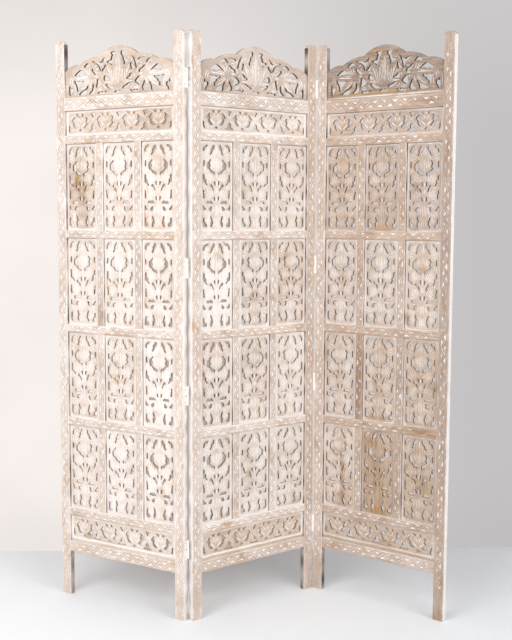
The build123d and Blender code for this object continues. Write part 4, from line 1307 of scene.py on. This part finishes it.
def make_panels(leaf, seed):
    """A leaf's twelve panels."""
    for row, (low, height) in enumerate(ROWS, start=1):
        for column in range(COLUMNS):
            x0 = STILE_FACE + column * COLUMN_PITCH
            middle = (x0 + COLUMN_WIDTH / 2, low + height / 2)
            scale = (COLUMN_WIDTH / PANEL_FIELD[0], height / PANEL_FIELD[1])
            carved_board(f"{leaf}_panel_{row}_{column + 1}", leaf,
                         f"{leaf}_panels_{column + 1}",
                         (x0 - BOARD_LAP, x0 + COLUMN_WIDTH + BOARD_LAP),
                         (low - BOARD_LAP, low + height + BOARD_LAP), middle, scale,
                         both_sides(PANEL_HOLES), panel_relief, PANEL_WOOD,
                         seed + 10 * row + column)


def make_friezes(leaf, seed):
    """A leaf's two friezes."""
    for number, (name, (low, height), strip) in enumerate((
            ("bottom_frieze", BOTTOM_FRIEZE, BOTTOM_FRIEZE_STRIP),
            ("top_frieze", TOP_FRIEZE, 0.0))):
        scale = (OPENING / FRIEZE_FIELD[0], (height - strip) / FRIEZE_FIELD[1])
        carved_board(f"{leaf}_{name}", leaf, f"{leaf}_{name}",
                     (STILE_FACE - BOARD_LAP, LEAF_WIDTH - STILE_FACE + BOARD_LAP),
                     (low - BOARD_LAP, low + height + BOARD_LAP),
                     (LEAF_WIDTH / 2, low + (height + strip) / 2), scale, frieze_outlines(),
                     frieze_relief, PANEL_WOOD, seed + number)


def make_crest(leaf, seed):
    """A leaf's crest, on its plain strip where it has one."""
    foot = CREST_Z + CREST_STRIP[leaf]
    carved_board(f"{leaf}_crest", leaf, f"{leaf}_crest",
                 (STILE_FACE - BOARD_LAP, LEAF_WIDTH - STILE_FACE + BOARD_LAP),
                 (CREST_Z - BOARD_LAP, foot + CREST_RISE + 1.0),
                 (LEAF_WIDTH / 2, foot), (1.0, 1.0),
                 both_sides(CREST_HOLES) + [CREST_BASE_SLOT], crest_relief, CREST_WOOD, seed,
                 crest_outline())


for leaf_number, leaf in enumerate(LEAVES):
    base = 1000 * (leaf_number + 1)
    for number, side in enumerate(("left", "right")):
        make_stile(leaf, side, (STRIP_FOOT, STRIP_TOPS[leaf][number]), base + number)
    for number, (name, (low, height)) in enumerate(RAILS.items()):
        make_rail(leaf, name, low, height, RAIL_STRIP_SCALES.get(name, THIN_STRIP_SCALE),
                  base + 10 + number)
    for row, (low, height) in enumerate(ROWS, start=1):
        for column in range(1, COLUMNS):
            make_mullion(leaf, row, column, low, height, base + 30 + 4 * row + column)
    make_panels(leaf, base + 100)
    make_friezes(leaf, base + 200)
    make_crest(leaf, base + 300)

for node_name, node_object in frame["nodes"].items():
    if "hinge" in node_name:
        finish = (PIN_STEEL if "pins" in node_name else
                  SCREW_STEEL if "screws" in node_name else HINGE_PAINT)
        for slot in node_object.material_slots:
            slot.material = finish


# --- Camera, light and background -----------------------------------------------------------
PHOTO_HEIGHT = 640
FOCAL_PIXELS = 1056.5
SENSOR = 36.0
CAMERA_PLACE = Vector((-0.11524, -3.37126, 1.2772))
CAMERA_YAW = 0.041155
CAMERA_PITCH = 0.098925  # down
CAMERA_ROLL = 0.004084


def make_camera():
    """The camera that was fitted to the photo."""
    forward_level = Vector((math.sin(CAMERA_YAW), math.cos(CAMERA_YAW), 0))
    right_level = Vector((math.cos(CAMERA_YAW), -math.sin(CAMERA_YAW), 0))
    rise = Vector((0, 0, 1))
    forward = forward_level * math.cos(CAMERA_PITCH) - rise * math.sin(CAMERA_PITCH)
    up = rise * math.cos(CAMERA_PITCH) + forward_level * math.sin(CAMERA_PITCH)
    right = right_level * math.cos(CAMERA_ROLL) + up * math.sin(CAMERA_ROLL)
    up = up * math.cos(CAMERA_ROLL) - right_level * math.sin(CAMERA_ROLL)
    data = bpy.data.cameras.new("camera")
    data.sensor_width = SENSOR
    data.lens = SENSOR * FOCAL_PIXELS / PHOTO_HEIGHT
    camera = new_object("camera", data)
    matrix = Matrix((right, up, -forward)).transposed().to_4x4()
    matrix.translation = CAMERA_PLACE
    camera.matrix_world = matrix
    bpy.context.scene.camera = camera


def plane(name, corners, material):
    """One flat face of the stage."""
    mesh = bpy.data.meshes.new(name)
    mesh.from_pydata(corners, [], [range(len(corners))])
    mesh.materials.append(material)
    piece = new_object(name, mesh)


WALL_Y = 0.578
WORLD_FRONT = 0.5
WORLD_BACK = 0.25
FLOOR_REACH = 12.0
WALL_REACH, WALL_HEIGHT = 12.0, 8.0


def make_floor():
    """A pale floor under the screen."""
    material, n, shader = new_material("floor")
    n.put(shader.inputs["Base Color"], srgb(247, 251, 255))
    n.put(shader.inputs["Roughness"], 0.7)
    n.put(shader.inputs["Specular IOR Level"], 0.2)
    plane("floor", [(x * FLOOR_REACH, y * FLOOR_REACH, 0)
                    for x, y in ((-1, -1), (1, -1), (1, 1), (-1, 1))], material)


def direct_rays(n):
    """1 for rays that see a thing itself, 0 for those that gather its light."""
    rays = n.add("ShaderNodeLightPath").outputs
    seen = n.math("MAXIMUM", rays["Is Camera Ray"], rays["Is Glossy Ray"])
    return n.math("MAXIMUM", seen, rays["Is Transmission Ray"])


def make_wall():
    """A backdrop that can be looked through from behind. Its colour holds painted light, a
    falloff from bright left to grey right, and a painted shadow behind the near fold; it is also
    darker towards the top and the floor, and mottled.
    """
    material = bpy.data.materials.new("wall")
    n = emptied(material)
    parts = n.add("ShaderNodeSeparateXYZ")
    place = n.add("ShaderNodeTexCoord").outputs["Object"]
    n.put(parts.inputs[0], place)
    # Painted light: bright on the left, falling off to grey on the right.
    across = n.rise(parts.outputs["X"], -0.7, 1.0)
    colour = n.mix(across, srgb(250, 243, 239), srgb(196, 194, 195))
    # Darker towards the top and towards the floor.
    high = n.rise(parts.outputs["Z"], 1.5, 2.2)
    colour = n.mix(n.math("MULTIPLY", high, 0.5), colour, srgb(212, 209, 208))
    low = n.rise(parts.outputs["Z"], 0.35, 0.0)
    colour = n.mix(n.math("MULTIPLY", low, 0.15), colour, srgb(170, 168, 170))
    # Behind the near fold the screen keeps the light off the wall.
    off_fold = n.math("ABSOLUTE", n.math("SUBTRACT", parts.outputs["X"], -0.2))
    shadow = n.math("MULTIPLY", n.rise(off_fold, 0.28, 0.12),
                    n.rise(parts.outputs["Z"], 1.84, 1.6))
    colour = n.mix(n.math("MULTIPLY", shadow, 0.85), colour, srgb(166, 156, 149))
    cloud = n.rise(n.noise(place, (1.6, 1.6, 1.6), 4.0), 0.35, 0.7)
    colour = n.mix(n.math("MULTIPLY", cloud, 0.12), colour, srgb(196, 190, 186))
    paint = n.add("ShaderNodeBsdfDiffuse")
    n.put(paint.inputs["Color"], colour)
    seen = n.add("ShaderNodeEmission")
    n.put(seen.inputs["Color"], colour)
    front = n.add("ShaderNodeMixShader")
    n.put(front.inputs[0], direct_rays(n))
    n.put(front.inputs[1], paint.outputs[0])
    n.put(front.inputs[2], seen.outputs[0])
    clear = n.add("ShaderNodeBsdfTransparent")
    mix = n.add("ShaderNodeMixShader")
    n.put(mix.inputs[0], n.add("ShaderNodeNewGeometry").outputs["Backfacing"])
    n.put(mix.inputs[1], front.outputs[0])
    n.put(mix.inputs[2], clear.outputs[0])
    output = n.add("ShaderNodeOutputMaterial")
    n.put(output.inputs["Surface"], mix.outputs[0])
    plane("wall", [(x * WALL_REACH, WALL_Y, z * WALL_HEIGHT)
                   for x, z in ((-1, 0), (1, 0), (1, 1), (-1, 1))], material)


def make_world():
    """Soft light from all round, stronger from in front of the screen than from behind."""
    world = bpy.data.worlds.new("world")
    bpy.context.scene.world = world
    n = emptied(world)
    parts = n.add("ShaderNodeSeparateXYZ")
    n.put(parts.inputs[0], n.add("ShaderNodeTexCoord").outputs["Generated"])
    behind = n.rise(parts.outputs["Y"], -0.4, 0.6)
    light = n.add("ShaderNodeBackground")
    n.put(light.inputs["Color"], (1.0, 0.99, 0.98, 1))
    n.put(light.inputs["Strength"],
          n.total(WORLD_FRONT, (behind, 0.0, WORLD_BACK - WORLD_FRONT)))
    seen = n.add("ShaderNodeBackground")
    n.put(seen.inputs["Color"], srgb(226, 222, 220))
    mix = n.add("ShaderNodeMixShader")
    n.put(mix.inputs[0], direct_rays(n))
    n.put(mix.inputs[1], light.outputs[0])
    n.put(mix.inputs[2], seen.outputs[0])
    output = n.add("ShaderNodeOutputWorld")
    n.put(output.inputs["Surface"], mix.outputs[0])


def make_lamp(name, place, target, size, power, colour=(1, 1, 1)):
    """A square lamp at place that faces target."""
    data = bpy.data.lights.new(name, "AREA")
    data.shape = "SQUARE"
    data.size = size
    data.energy = power
    data.color = colour
    lamp = new_object(name, data)
    lamp.location = place
    direction = Vector(target) - Vector(place)
    lamp.rotation_euler = direction.to_track_quat("-Z", "Y").to_euler()


make_camera()
make_floor()
make_wall()
make_world()
make_lamp("key", (-1.7, -2.5, 2.2), (-0.1, 0, 0.8), 2.0, 56, (1.0, 0.99, 0.98))
make_lamp("fill", (1.8, -2.7, 2.1), (0.0, 0, 0.8), 2.2, 54)

scene = bpy.context.scene
scene.view_settings.view_transform = "Standard"
